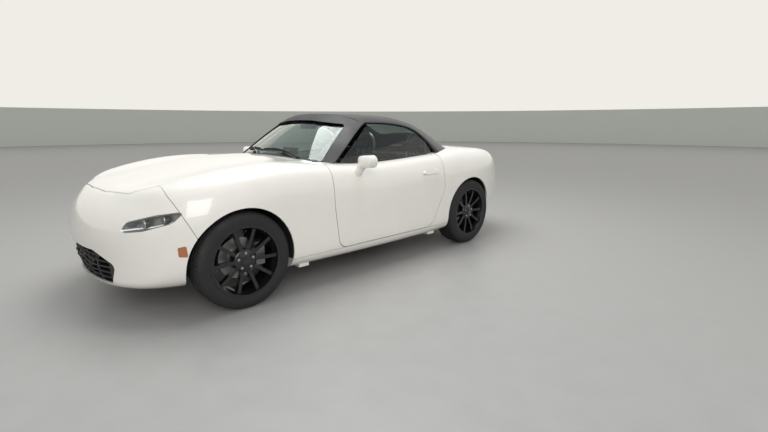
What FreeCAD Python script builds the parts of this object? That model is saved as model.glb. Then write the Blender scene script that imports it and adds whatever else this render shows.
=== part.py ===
"""Two-seat roadster: an assembly of body panels, hollow cabin, running gear and hinged parts.

Frame: +Z up, nose towards -Y, left side of the car towards +X, in millimetres.
The origin is on the ground, on the centreline, midway between nose and tail.
"""
import FreeCAD
import Part
import math
import os

V = FreeCAD.Vector

# Overall sizes of the car
LENGTH = 3915.0
WIDTH = 1735.0
WHEELBASE = 2310.0
FRONT_OVERHANG = 735.0
FRONT_TRACK = 1495.0
REAR_TRACK = 1505.0

NOSE_Y = -LENGTH / 2
TAIL_Y = LENGTH / 2
FRONT_AXLE_Y = NOSE_Y + FRONT_OVERHANG
REAR_AXLE_Y = FRONT_AXLE_Y + WHEELBASE


# The body skin is one net of rings. A ring runs from the top centreline, over the shoulder and down
# the side, to the underside centreline. Each point is (x, distance behind the nose, height).


def flat_ring(behind_nose, points):
    """A ring in one upright plane across the car: points are (x, z)."""
    return [(x, behind_nose, z) for x, z in points]


FLOOR_Z = 150.0
FLOOR_EDGE = (560.0, 145.0)


def side_ring(behind_nose, top, valley, crest, shoulder, upper, widest, lower, sill):
    """A ring across the middle of the car, from its heights and half-widths."""
    mid = (240.0, top - 0.06 * (top - valley[1]) - 1.0)
    points = [(0.0, top), mid, valley, crest, shoulder, upper, widest, lower, sill]
    points += [FLOOR_EDGE, (0.0, FLOOR_Z)]
    return flat_ring(behind_nose, points)


def skin_rings():
    rings = [
        # small flat ring inside the mouth
        flat_ring(25, [(0, 345), (70, 345), (140, 342), (190, 338), (215, 326), (225, 315),
                       (225, 300), (215, 288), (190, 280), (100, 277), (0, 277)]),
        # round the mouth
        [(0, -14, 448), (190, -6, 448), (330, 23, 443), (430, 63, 426), (482, 90, 392), (503, 103, 346),
         (504, 106, 298), (482, 100, 252), (430, 84, 217), (230, 44, 196), (0, 30, 192)],
        # fascia
        [(0, -1, 592), (230, 23, 592), (420, 71, 586), (560, 135, 562), (640, 188, 520), (674, 210, 446),
         (682, 221, 360), (672, 212, 275), (612, 172, 200), (320, 96, 168), (0, 66, 165)],
        # leading edge of the bonnet
        [(0, 85, 705), (240, 108, 705), (440, 165, 698), (600, 239, 690), (710, 305, 634), (747, 322, 533),
         (757, 320, 420), (751, 315, 300), (690, 290, 190), (380, 220, 155), (0, 190, 150)],
        # through the headlamps
        [(0, 150, 757), (240, 165, 758), (440, 215, 755), (620, 300, 780), (740, 370, 736), (795, 400, 616),
         (812, 410, 477), (808, 405, 326), (752, 390, 190), (420, 350, 150), (0, 330, 150)],
        # ahead of the front wheels
        [(0, 310, 786), (240, 320, 787), (440, 350, 782), (640, 430, 820), (765, 480, 783), (832, 500, 678),
         (850, 505, 519), (845, 500, 348), (792, 490, 193), (460, 480, 150), (0, 470, 150)],
        # front axle
        [(0, 520, 822), (240, 525, 822), (445, 540, 818), (655, 590, 852), (785, 620, 817), (848, 630, 728),
         (870, 632, 572), (864, 630, 376), (822, 625, 192), (500, 620, 148), (0, 620, 150)],
        side_ring(800, 866, (450, 858), (668, 882), (792, 847), (853, 764), (873, 618), (864, 362), (842, 190)),
        side_ring(1050, 898, (455, 885), (680, 887), (785, 853), (838, 780), (856, 627), (850, 360), (847, 174)),
        # windscreen base and doors
        side_ring(1350, 905, (460, 886), (695, 868), (778, 838), (822, 765), (842, 614), (840, 350), (850, 166)),
        side_ring(1750, 872, (465, 854), (705, 833), (775, 803), (815, 727), (836, 582), (836, 348), (850, 160)),
        side_ring(2200, 880, (470, 866), (712, 851), (778, 821), (820, 740), (840, 590), (838, 348), (850, 160)),
        side_ring(2600, 892, (480, 884), (718, 877), (788, 848), (834, 765), (852, 605), (847, 354), (850, 168)),
        # rear haunch
        side_ring(2900, 904, (480, 899), (718, 901), (797, 871), (852, 784), (871, 619), (861, 374), (848, 186)),
        side_ring(3150, 912, (475, 906), (705, 907), (790, 879), (854, 792), (875, 629), (862, 406), (830, 208)),
        side_ring(3400, 909, (460, 902), (668, 897), (750, 871), (814, 789), (837, 639), (829, 434), (775, 235)),
        # tail
        [(0, 3640, 897), (230, 3635, 896), (440, 3620, 890), (616, 3590, 878), (692, 3570, 847), (754, 3560, 776),
         (784, 3555, 646), (779, 3555, 456), (720, 3560, 255), (430, 3600, 190), (0, 3620, 185)],
        [(0, 3800, 885), (225, 3790, 883), (420, 3765, 874), (570, 3725, 852), (638, 3700, 820), (692, 3690, 754),
         (721, 3690, 642), (719, 3695, 486), (664, 3705, 290), (400, 3740, 215), (0, 3755, 205)],
        [(0, 3872, 854), (215, 3860, 850), (390, 3837, 838), (515, 3800, 810), (570, 3785, 777), (610, 3785, 728),
         (632, 3795, 635), (632, 3805, 517), (580, 3815, 340), (360, 3840, 250), (0, 3850, 240)],
        [(0, 3897, 766), (200, 3892, 764), (350, 3877, 754), (440, 3862, 731), (475, 3858, 709), (495, 3858, 683),
         (505, 3864, 629), (500, 3872, 549), (455, 3874, 430), (300, 3887, 350), (0, 3897, 335)],
        # small flat ring behind the number plate
        flat_ring(3915, [(0, 660), (110, 660), (200, 655), (240, 645), (255, 630), (260, 615),
                         (260, 595), (255, 575), (230, 555), (130, 540), (0, 538)]),
    ]
    return [[V(x, NOSE_Y + d, z) for x, d, z in ring] for ring in rings]


def inset_net(net, depth):
    """The net moved inwards along its own normals, for the inside of a panel."""
    moved = []
    last = len(net) - 1
    for i, ring in enumerate(net):
        if i in (0, last):
            moved.append([p + V(0, depth if i == 0 else -depth, 0) for p in ring])
            continue
        row = []
        for j, p in enumerate(ring):
            before = net[i - 1][j]
            after = net[i + 1][j]
            up = mirrored(ring[1]) if j == 0 else ring[j - 1]
            down = mirrored(ring[-2]) if j == len(ring) - 1 else ring[j + 1]
            normal = (after - before).cross(down - up)
            normal.normalize()
            row.append(p + normal * depth)
        moved.append(row)
    return moved


def mirrored(p):
    return V(-p.x, p.y, p.z)


def half_surface(net):
    """Cubic surface over the left half of the net, smooth across the centreline."""
    rows = [[mirrored(r[1])] + list(r) + [mirrored(r[-2])] for r in net]
    n_u, n_v = len(rows), len(rows[0])
    u_knots = list(range(n_u - 2))
    u_mults = [4] + [1] * (n_u - 4) + [4]
    v_knots = list(range(n_v + 4))
    v_mults = [1] * (n_v + 4)
    surface = Part.BSplineSurface()
    surface.buildFromPolesMultsKnots(rows, u_mults, v_mults, u_knots, v_knots, False, False, 3, 3)
    surface.segment(0, n_u - 3, 3, n_v)
    return surface


def mirror_x(shape):
    return shape.mirror(V(0, 0, 0), V(1, 0, 0))


def skin_solid(net):
    left = half_surface(net).toShape()
    right = mirror_x(left)
    caps = []
    for y in (net[0][0].y, net[-1][0].y):
        edges = []
        for face in (left, right):
            edges += [e for e in face.Edges if max(abs(v.Y - y) for v in e.Vertexes) < 1e-4
                      and abs(e.CenterOfMass.y - y) < 1e-4]
        caps.append(Part.Face(Part.Wire(Part.__sortEdges__(edges))))
    shell = Part.Shell([left, right] + caps)
    shell.sewShape()
    solid = Part.Solid(shell)
    if solid.Volume < 0:
        solid.reverse()
    return solid


def save(shape, node):
    print(node, len(shape.Solids), "solids,", round(shape.Volume / 1e6, 2), "litres,", shape.isValid())
    shape.exportStep(os.path.join("parts", node + ".step"))


def patch_surface(net):
    """Cubic surface through a clamped net of poles."""
    surface = Part.BSplineSurface()
    knots = []
    for count in (len(net), len(net[0])):
        degree = min(3, count - 1)
        spans = count - degree
        knots.append((degree, [degree + 1] + [1] * (spans - 1) + [degree + 1], list(range(spans + 1))))
    (du, mu, ku), (dv, mv, kv) = knots
    surface.buildFromPolesMultsKnots(net, mu, mv, ku, kv, False, False, du, dv)
    return surface


def offset_patch(net, depth):
    """A net moved along its normals by depth."""
    moved = []
    for i, ring in enumerate(net):
        row = []
        for j, p in enumerate(ring):
            along = net[min(i + 1, len(net) - 1)][j] - net[max(i - 1, 0)][j]
            across = ring[min(j + 1, len(ring) - 1)] - ring[max(j - 1, 0)]
            normal = along.cross(across)
            normal.normalize()
            row.append(p + normal * depth)
        moved.append(row)
    return moved


def patch_solid(outer_net, inner_net):
    """A plate between two nets of the same size."""
    outer, inner = patch_surface(outer_net), patch_surface(inner_net)
    u0, u1, v0, v1 = outer.bounds()
    a0, a1, b0, b1 = inner.bounds()
    faces = [outer.toShape(), inner.toShape()]
    for s, t in ((u0, a0), (u1, a1)):
        faces.append(Part.makeRuledSurface(outer.uIso(s).toShape(), inner.uIso(t).toShape()))
    for s, t in ((v0, b0), (v1, b1)):
        faces.append(Part.makeRuledSurface(outer.vIso(s).toShape(), inner.vIso(t).toShape()))
    shell = Part.Shell(faces)
    shell.sewShape()
    solid = Part.Solid(shell)
    if solid.Volume < 0:
        solid.reverse()
    return solid


def rounded(points):
    """Closed 2-D outline from (a, b) or (a, b, corner radius) points, as a list of edges' points.
    Returns ('line', p, q) and ('arc', p, mid, q) pieces."""
    corners = [(p[0], p[1], p[2] if len(p) > 2 else 0.0) for p in points]
    cut = []
    for i, (a, b, r) in enumerate(corners):
        pa, pb, _ = corners[i - 1]
        na, nb, _ = corners[(i + 1) % len(corners)]
        if r == 0:
            cut.append(((a, b), None, (a, b)))
            continue
        la, lb = math.hypot(pa - a, pb - b), math.hypot(na - a, nb - b)
        ua, ub = ((pa - a) / la, (pb - b) / la), ((na - a) / lb, (nb - b) / lb)
        angle = math.acos(max(-1.0, min(1.0, ua[0] * ub[0] + ua[1] * ub[1])))
        reach = min(r / math.tan(angle / 2), 0.49 * min(la, lb))
        r = reach * math.tan(angle / 2)
        start = (a + ua[0] * reach, b + ua[1] * reach)
        end = (a + ub[0] * reach, b + ub[1] * reach)
        bis = (ua[0] + ub[0], ua[1] + ub[1])
        n = math.hypot(*bis)
        far = r / math.sin(angle / 2) - r
        mid = (a + bis[0] / n * far, b + bis[1] / n * far)
        cut.append((start, mid, end))
    pieces = []
    for i, (start, mid, end) in enumerate(cut):
        if mid:
            pieces.append(("arc", start, mid, end))
        after = cut[(i + 1) % len(cut)][0]
        if math.hypot(end[0] - after[0], end[1] - after[1]) > 1e-6:
            pieces.append(("line", end, after))
    return pieces


def face_from(points, place):
    """Planar face from a rounded outline; place turns (a, b) into a point in space."""
    edges = []
    for piece in rounded(points):
        if piece[0] == "line":
            edges.append(Part.LineSegment(place(*piece[1]), place(*piece[2])).toShape())
        else:
            edges.append(Part.Arc(place(*piece[1]), place(*piece[2]), place(*piece[3])).toShape())
    return Part.Face(Part.Wire(edges))


def side_prism(points, x0, x1):
    """Outline (distance behind the nose, z) swept across the car from x0 to x1."""
    return face_from(points, lambda d, z: V(x0, NOSE_Y + d, z)).extrude(V(x1 - x0, 0, 0))


def plan_prism(points, z0, z1):
    """Outline (x, distance behind the nose) swept upwards from z0 to z1."""
    return face_from(points, lambda x, d: V(x, NOSE_Y + d, z0)).extrude(V(0, 0, z1 - z0))


def front_prism(points, d0, d1):
    """Outline (x, z) swept rearwards from d0 to d1 behind the nose."""
    return face_from(points, lambda x, z: V(x, NOSE_Y + d0, z)).extrude(V(0, d1 - d0, 0))


def block(x0, x1, d0, d1, z0, z1):
    return Part.makeBox(x1 - x0, d1 - d0, z1 - z0, V(x0, NOSE_Y + d0, z0))


def cylinder_x(radius, x0, x1, y, z):
    return Part.makeCylinder(radius, x1 - x0, V(x0, y, z), V(1, 0, 0))


def grown(points, margin):
    """The outline moved outwards by margin, corner by corner, with its radii kept in step."""
    flat = [(p[0], p[1]) for p in points]
    area = sum(a[0] * b[1] - b[0] * a[1] for a, b in zip(flat, flat[1:] + flat[:1]))
    turn = 1.0 if area > 0 else -1.0
    out = []
    for i, p in enumerate(points):
        a, b = points[i - 1], points[(i + 1) % len(points)]
        e1 = (p[0] - a[0], p[1] - a[1])
        e2 = (b[0] - p[0], b[1] - p[1])
        n1 = (turn * e1[1] / math.hypot(*e1), -turn * e1[0] / math.hypot(*e1))
        n2 = (turn * e2[1] / math.hypot(*e2), -turn * e2[0] / math.hypot(*e2))
        k = margin / (1 + n1[0] * n2[0] + n1[1] * n2[1])
        moved = (p[0] + (n1[0] + n2[0]) * k, p[1] + (n1[1] + n2[1]) * k)
        radius = p[2] if len(p) > 2 else 0.0
        convex = turn * (e1[0] * e2[1] - e1[1] * e2[0]) > 0
        radius = max(0.0, radius + (margin if convex else -margin)) if radius else 0.0
        out.append((moved[0], moved[1], radius))
    return out


def both_sides(points):
    """Outline on the left of the centreline, closed by its mirror image on the right."""
    return points + [(-p[0],) + tuple(p[1:]) for p in reversed(points) if abs(p[0]) > 1e-9]


def pair(shape):
    """The left-hand shape with its right-hand mirror image."""
    return Part.makeCompound([shape, mirror_x(shape)])


def widened(net, margin):
    """The net with its border moved outwards by margin, along the surface."""
    rows = [list(row) for row in net]
    for row in rows:
        for end, beside in ((0, 1), (-1, -2)):
            step = row[end] - row[beside]
            step.normalize()
            row[end] = row[end] + step * margin
    for end, beside in ((0, 1), (-1, -2)):
        for j, p in enumerate(rows[end]):
            step = p - rows[beside][j]
            step.normalize()
            rows[end][j] = p + step * margin
    return rows


def slab(net, above, below, margin):
    """The space from above a net to below it, wider than the net by margin."""
    wide = widened(net, margin)
    return patch_solid(offset_patch(wide, -above), offset_patch(wide, below))


def bar(a, b, radius):
    """Round bar between two points."""
    return Part.makeCylinder(radius, (b - a).Length, a, b - a)


def revolve_x(outline):
    """Closed (x, radius) outline turned about the X axis."""
    face = face_from(outline, lambda x, r: V(x, 0, r))
    return face.revolve(V(0, 0, 0), V(1, 0, 0), 360)


# Gaps and wall thicknesses
PANEL = 14.0
FIXED_GAP = 3.0
LENS = 6.0
LAMP_BOWL = 58.0
LAMP_DEPTH = 100.0
MOVING_GAP = 6.0
SEAT_GAP = 0.3
LAMP_GAP = 1.0
FIT = 0.3

# Wheels and arches
TYRE_RADIUS = 308.0
TYRE_WIDTH = 205.0
RIM_RADIUS = 216.0
ARCH_RADIUS = 347.0
ARCH_LIP_RADIUS = 334.0
ARCH_LIP_X0, ARCH_LIP_X1 = 780.0, 846.0
ARCH_INNER_X = 470.0
FRONT_WHEEL_X = FRONT_TRACK / 2
REAR_WHEEL_X = REAR_TRACK / 2

# Distances behind the nose (d) and heights that several panels share
FRONT_AXLE_D = FRONT_OVERHANG
REAR_AXLE_D = FRONT_OVERHANG + WHEELBASE
SILL_TOP_Z = 246.0
SILL_INNER_X = 690.0
FIREWALL_D = FRONT_AXLE_D + ARCH_RADIUS + 15.0
BULKHEAD_D = 2850.0
BOOT_LID_D = 3292.0
BOOT_LID_FOOT_Z = 742.0
DOOR_FRONT_D = 1430.0
DOOR_REAR_D = 2645.0
DOOR_LAP = 30.0
DOOR_LAP_X = 765.0
DOOR_NOTCH_X = 706.0
DOOR_SWING_GAP = 13.0
PILLAR_FOOT_D = 1560.0
DOOR_INNER_X = 662.0
CABIN_SIDE_X = 655.0

# Door handles
HANDLE_D, HANDLE_Z = 2468.0, 728.0
HANDLE_STANDS = 27.0

# Mirrors and fuel flap
MIRROR_X, MIRROR_D, MIRROR_Z = 886.0, 1716.0, 866.0
FLAP_D, FLAP_Z, FLAP_RADIUS = 2955.0, 790.0, 72.0

# Mounts: jacking points, towing eye and rear number plate
JACK_X = 745.0
JACK_Z = 158.0
JACK_D = (1190.0, 2560.0)
BEAM_D = 170.0
EYE_X = -430.0
EYE_Z = 402.0
EYE_HOLE_RADIUS = 32.0
EYE_THREAD_RADIUS = 9.0
EYE_SOCKET_RADIUS = 20.0
EYE_SOCKET_LENGTH = 46.0
TRAY_TOP_Z = 178.0
TRAY_REAR_D = 398.0
PLATE_WIDTH = 530.0
PLATE_HEIGHT = 118.0
PLATE_D = 3886.0
PLATE_Z = 548.0
PLATE_HOLE_SPACING = 300.0
PLATE_HOLE_RADIUS = 3.0
UNDERSIDE_REAR_D = 3790.0
TIP_X = -430.0
TIP_RADIUS = 32.0

# Outlines: plan views are (x, d), side views (d, z) and front views (x, z), with corner radii
BONNET = both_sides([(0, 144), (240, 158, 60), (470, 224, 90), (588, 345, 120), (622, 700, 600),
                     (652, 1180, 300), (640, 1402, 30), (470, 1350, 500), (240, 1296, 300), (0, 1284)])
BOOT_LID = both_sides([(0, BOOT_LID_D), (300, 3300, 400), (520, 3330, 60), (500, 3600, 200),
                       (455, 3790, 60), (380, 3990), (0, 3990)])
DOOR = [(DOOR_FRONT_D, 905), (DOOR_FRONT_D - 4, 560, 200), (DOOR_FRONT_D + 32, SILL_TOP_Z + MOVING_GAP, 70),
        (2470, SILL_TOP_Z + MOVING_GAP, 130), (DOOR_REAR_D, 560, 160), (DOOR_REAR_D - 12, 960)]
CABIN = both_sides([(0, 1360), (240, 1381, 300), (470, 1442, 300), (CABIN_SIDE_X - 3, 1550, 60),
                    (CABIN_SIDE_X, 2000, 600), (CABIN_SIDE_X, 2690, 60), (600, 2950, 150), (470, 3120, 150),
                    (0, 3205, 60)])
COWL = both_sides([(0, 1150), (600, 1150), (646, 1395), (646, 1580), (0, 1580)])
MOUTH = both_sides([(0, 412), (300, 410, 70), (476, 334, 36), (424, 214, 50), (0, 206)])
HEADLAMP = [(528, 534, 22), (566, 596, 26), (690, 636, 60), (786, 654, 12), (756, 590, 50), (650, 548, 120)]
MARKER = [(360, 400, 8), (358, 452, 8), (397, 460, 8), (402, 396, 8)]
TAIL_LAMP = [(450, 700, 30), (480, 765, 30), (560, 768, 40), (706, 716, 20), (640, 668, 30), (520, 640, 50)]
BUMPER_SPLIT = [(-60, 0), (398, 0), (452, 330), (452, 500), (404, 610, 60), (352, 740, 60), (340, 920), (-60, 920)]
REAR_BUMPER_SPLIT = [(3384, 0), (3392, 520), (3560, 618, 60), (4000, 640), (4000, 0)]

# Screen, side glass and soft top: rows run from the front to the back, points are (x, d, z)
GLASS = 5.0
TOP_CLOTH = 12.0
FRAME_DEPTH = 24.0
SCREEN = [
    [(640, 1475, 836), (470, 1365, 843), (240, 1300, 849), (0, 1281, 851)],
    [(608, 1600, 932), (442, 1500, 955), (222, 1443, 966), (0, 1427, 969)],
    [(566, 1745, 1048), (408, 1665, 1078), (207, 1620, 1091), (0, 1606, 1094)],
    [(520, 1900, 1150), (378, 1842, 1178), (192, 1810, 1190), (0, 1800, 1193)],
]
SOFT_TOP = [
    [(541, 1914, 1140), (492, 1886, 1166), (375, 1848, 1184), (190, 1816, 1195), (0, 1806, 1198)],
    [(572, 2045, 1144), (515, 2035, 1186), (395, 2025, 1208), (200, 2020, 1219), (0, 2018, 1222)],
    [(585, 2300, 1134), (520, 2290, 1180), (400, 2285, 1208), (205, 2280, 1224), (0, 2278, 1228)],
    [(605, 2500, 1084), (530, 2525, 1142), (402, 2545, 1176), (205, 2555, 1196), (0, 2558, 1201)],
    [(652, 2608, 985), (555, 2725, 1048), (402, 2788, 1100), (205, 2812, 1122), (0, 2818, 1128)],
    [(694, 2660, 910), (596, 2862, 955), (412, 3000, 992), (207, 3042, 1012), (0, 3052, 1018)],
    [(716, 2690, 860), (640, 2975, 880), (430, 3160, 890), (215, 3226, 893), (0, 3240, 894)],
]
SCREEN_FRAME = [
    [(676, 1545, 838), (640, 1475, 836), (470, 1365, 843), (240, 1300, 849), (0, 1281, 851)],
    [(644, 1662, 926), (608, 1600, 932), (442, 1500, 955), (222, 1443, 966), (0, 1427, 969)],
    [(600, 1803, 1040), (566, 1745, 1048), (408, 1665, 1078), (207, 1620, 1091), (0, 1606, 1094)],
    [(550, 1938, 1130), (520, 1900, 1150), (378, 1842, 1178), (192, 1810, 1190), (0, 1800, 1193)],
    [(548, 1972, 1130), (514, 1936, 1158), (376, 1880, 1184), (191, 1850, 1197), (0, 1842, 1200)],
]
APERTURE = both_sides([(0, 700), (600, 700), (617, 880, 20), (503, 1132, 60), (182, 1163, 200), (0, 1167)])
SIDE_GLASS = [
    [(700, 1480, 800), (712, 1850, 800), (716, 2250, 800), (716, 2700, 800)],
    [(652, 1480, 960), (662, 1850, 968), (670, 2250, 972), (676, 2700, 968)],
    [(530, 1480, 1150), (546, 1850, 1158), (566, 2250, 1164), (580, 2700, 1160)],
]
SIDE_WINDOW = [(1560, 820), (1590, 855, 20), (1948, 1112, 60), (2060, 1126, 300), (2300, 1115, 300),
               (2476, 1070, 80), (2586, 972, 60), (2625, 905, 30), (2624, 820)]


REAR_WINDOW = both_sides([(0, 2700), (300, 2700, 60), (352, 2960, 60), (240, 2998, 200), (0, 3004)])


def points_of(rows):
    return [[V(x, NOSE_Y + d, z) for x, d, z in row] for row in rows]


def full_width(rows):
    """Rows given from the left edge to the centreline, carried on to the right edge."""
    return [row + [mirrored(p) for p in reversed(row[:-1])] for row in points_of(rows)]


def build_bonnet_and_lids(shell):
    save(shell.common(plan_prism(BONNET, 560, 1000)), "bonnet")
    save(shell.common(plan_prism(BOOT_LID, BOOT_LID_FOOT_Z, 1000)), "boot_lid")


def arch_spaces():
    """The room of the left-hand wheels: a cylinder that narrows to the lip of the arch."""
    profile = [(ARCH_INNER_X, 0), (ARCH_INNER_X, ARCH_RADIUS), (ARCH_LIP_X0, ARCH_RADIUS),
               (ARCH_LIP_X1, ARCH_LIP_RADIUS), (900, ARCH_LIP_RADIUS), (900, 0)]
    return [revolve_x(profile).translated(V(0, y, TYRE_RADIUS)) for y in (FRONT_AXLE_Y, REAR_AXLE_Y)]


def cut_all(shape, tools):
    for tool in tools:
        shape = shape.cut(tool)
    return shape


def both(shapes):
    return list(shapes) + [mirror_x(s) for s in shapes]


def add_handle(door, body, net):
    """A pull handle on two feet, over a scoop in the door's skin."""
    room = block(600, 1000, HANDLE_D - 200, HANDLE_D + 200, HANDLE_Z - 60, HANDLE_Z + 60)
    skin_x = body.common(room).common(bar(V(0, NOSE_Y + HANDLE_D, HANDLE_Z), V(950, NOSE_Y + HANDLE_D, HANDLE_Z), 1))
    scoop = Part.makeSphere(1.0)
    matrix = FreeCAD.Matrix()
    matrix.scale(V(18, 62, 30))
    scoop = scoop.transformGeometry(matrix)
    scoop.translate(V(skin_x.BoundBox.XMax + 2, NOSE_Y + HANDLE_D, HANDLE_Z))
    outline = [(HANDLE_D - 90, HANDLE_Z - 13, 10), (HANDLE_D - 90, HANDLE_Z + 11, 10),
               (HANDLE_D + 90, HANDLE_Z + 15, 10), (HANDLE_D + 90, HANDLE_Z - 9, 10)]
    outer = skin_solid(inset_net(net, -HANDLE_STANDS)).common(side_prism(outline, 700, 950))
    grip = outer.cut(skin_solid(inset_net(net, 11 - HANDLE_STANDS)))
    feet = outer.cut(block(600, 1000, HANDLE_D - 66, HANDLE_D + 66, 0, 1000)).cut(block(600, 800, 0, 4000, 0, 1000))
    return door.cut(scoop).fuse(grip).fuse(feet)


def pillar_foot():
    """Corner of the wing that stays inside the door's notch and carries the screen pillar."""
    inner, rear = DOOR_NOTCH_X - DOOR_SWING_GAP, PILLAR_FOOT_D - MOVING_GAP
    return block(560, inner, DOOR_FRONT_D - 30, rear, 800, 1000)


def build_outer_panels(body, shell, net):
    """Bumpers, wings, quarters, doors and sills, all cut from the one skin."""
    arches = arch_spaces()
    bonnet_hole = plan_prism(grown(BONNET, MOVING_GAP), 560, 1000)
    lid_hole = plan_prism(grown(BOOT_LID, MOVING_GAP), BOOT_LID_FOOT_Z - MOVING_GAP, 1000)
    cabin_hole = plan_prism(CABIN, 700, 1000)
    door_hole = side_prism(grown(DOOR, MOVING_GAP), 560, 950)
    latch_hole = side_prism(grown(DOOR, DOOR_SWING_GAP), 560, 776).common(block(0, 950, 2400, 2800, 790, 1000))
    lamp_hole = front_prism(grown(HEADLAMP, LAMP_GAP), 0, 600)
    tail_hole = front_prism(grown(TAIL_LAMP, LAMP_GAP), 3600, 4000)
    mouth_hole = front_prism(MOUTH, -50, 160)

    bumper_zone = side_prism(BUMPER_SPLIT, -950, 950)
    bumper = shell.common(bumper_zone)
    marker_hole = side_prism(grown(MARKER, LAMP_GAP), 700, 950)
    eye_hole = bar(V(EYE_X, NOSE_Y, EYE_Z), V(EYE_X, NOSE_Y + BEAM_D, EYE_Z), EYE_HOLE_RADIUS)
    tray_zone = block(-950, 950, -50, TRAY_REAR_D + 10, 0, TRAY_TOP_Z + FIXED_GAP)
    bumper = cut_all(bumper, [mouth_hole, bonnet_hole, eye_hole, tray_zone]
                     + both([lamp_hole, marker_hole, arches[0]]))
    save(bumper, "front_bumper")

    rear_zone = side_prism(REAR_BUMPER_SPLIT, -950, 950)
    underside = block(-600, 600, 3300, UNDERSIDE_REAR_D, 0, 300)
    tip_hole = bar(*exhaust_tip(), TIP_RADIUS + 8)
    rear = cut_all(shell.common(rear_zone), [underside, tip_hole] + both([tail_hole, arches[1]]))
    save(plate_recess(rear, body), "rear_bumper")

    wing = shell.common(block(0, 950, 300, DOOR_FRONT_D + 150, SILL_TOP_Z + FIXED_GAP, 1000))
    wing = cut_all(wing, [side_prism(grown(BUMPER_SPLIT, FIXED_GAP), -950, 950), bonnet_hole, lamp_hole,
                          arches[0], door_hole.cut(pillar_foot()), cabin_hole,
                          plan_prism(grown(COWL, FIXED_GAP), 560, 1000)])
    save(pair(wing), "front_wings")
    cowl = shell.common(plan_prism(COWL, 700, 1000))
    save(cut_all(cowl, [bonnet_hole, cabin_hole]), "cowl_panel")

    quarters = shell.common(block(-950, 950, 2400, 4000, SILL_TOP_Z + FIXED_GAP, 1000))
    quarters = cut_all(quarters, [side_prism(grown(REAR_BUMPER_SPLIT, FIXED_GAP), -950, 950), lid_hole,
                                  cabin_hole] + both([tail_hole, arches[1], door_hole, latch_hole]))
    flap_y, flap_depth = NOSE_Y + FLAP_D, skin_solid(inset_net(net, 5))
    groove = cylinder_x(FLAP_RADIUS + FIXED_GAP, -950, -700, flap_y, FLAP_Z)
    groove = groove.cut(cylinder_x(FLAP_RADIUS, -950, -700, flap_y, FLAP_Z)).cut(flap_depth)
    save(quarters.cut(groove), "rear_quarters")

    door = body.common(side_prism(DOOR, DOOR_INNER_X, 950))
    inner_outline = side_prism(grown(DOOR, -DOOR_LAP), 500, 800)
    lap = side_prism(grown(DOOR, 40), 560, DOOR_LAP_X).cut(inner_outline)
    door = door.cut(lap.common(block(560, DOOR_LAP_X, 1000, 3000, 0, 800)))
    door = door.cut(block(560, DOOR_NOTCH_X, 1400, PILLAR_FOOT_D, 790, 1000))
    door = add_handle(door, body, net)
    save(door, "door_left")
    save(mirror_x(door), "door_right")

    sill = body.common(block(SILL_INNER_X, 950, FRONT_AXLE_D, REAR_AXLE_D, 0, SILL_TOP_Z))
    sill = cut_all(sill, arches)
    for d in JACK_D:
        sill = sill.fuse(block(JACK_X - 25, JACK_X + 25, d - 40, d + 40, JACK_Z, JACK_Z + 45))
    save(pair(sill), "sills")


def exhaust_tip():
    """Ends of the tail pipe's centreline."""
    return V(TIP_X, NOSE_Y + 3600, 258), V(TIP_X, NOSE_Y + 3885, 246)


def plate_recess(bumper, body):
    """A flat, blank recess for the rear number plate, with its two screw holes."""
    x, z0, z1 = PLATE_WIDTH / 2, PLATE_Z - PLATE_HEIGHT / 2, PLATE_Z + PLATE_HEIGHT / 2
    backing = block(-x - 8, x + 8, PLATE_D - PANEL, PLATE_D, z0 - 8, z1 + 8).common(body)
    recess = block(-x, x, PLATE_D, LENGTH + 50, z0, z1)
    holes = []
    for side in (-1, 1):
        hole_x = side * PLATE_HOLE_SPACING / 2
        holes.append(bar(V(hole_x, NOSE_Y + PLATE_D - 30, PLATE_Z), V(hole_x, TAIL_Y, PLATE_Z), PLATE_HOLE_RADIUS))
    return cut_all(bumper.fuse(backing), [recess] + holes)


def build_lamps(body, net):
    """Clear lenses flush with the skin, each on the rim of a bowl that holds the lamp's optics."""
    lens_back = skin_solid(inset_net(net, LENS))
    seat = skin_solid(inset_net(net, LENS + FIT))
    bowl_floor = skin_solid(inset_net(net, LAMP_BOWL))
    lamp = front_prism(HEADLAMP, 0, 600)
    save(pair(body.common(lamp).cut(lens_back)), "headlamp_lenses")
    bowl = front_prism(grown(HEADLAMP, -5), 0, 600).cut(bowl_floor)
    unit = seat.common(lamp).cut(skin_solid(inset_net(net, LAMP_DEPTH))).cut(bowl)
    save(pair(cut_all(unit, wheel_boxes(FIT))), "headlamp_units")
    tail = front_prism(TAIL_LAMP, 3600, 4000)
    save(pair(body.common(tail).cut(skin_solid(inset_net(net, 24)))), "tail_lamps")
    marker = body.common(side_prism(MARKER, 700, 950))
    save(pair(marker.cut(lens_back)), "side_markers")


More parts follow.
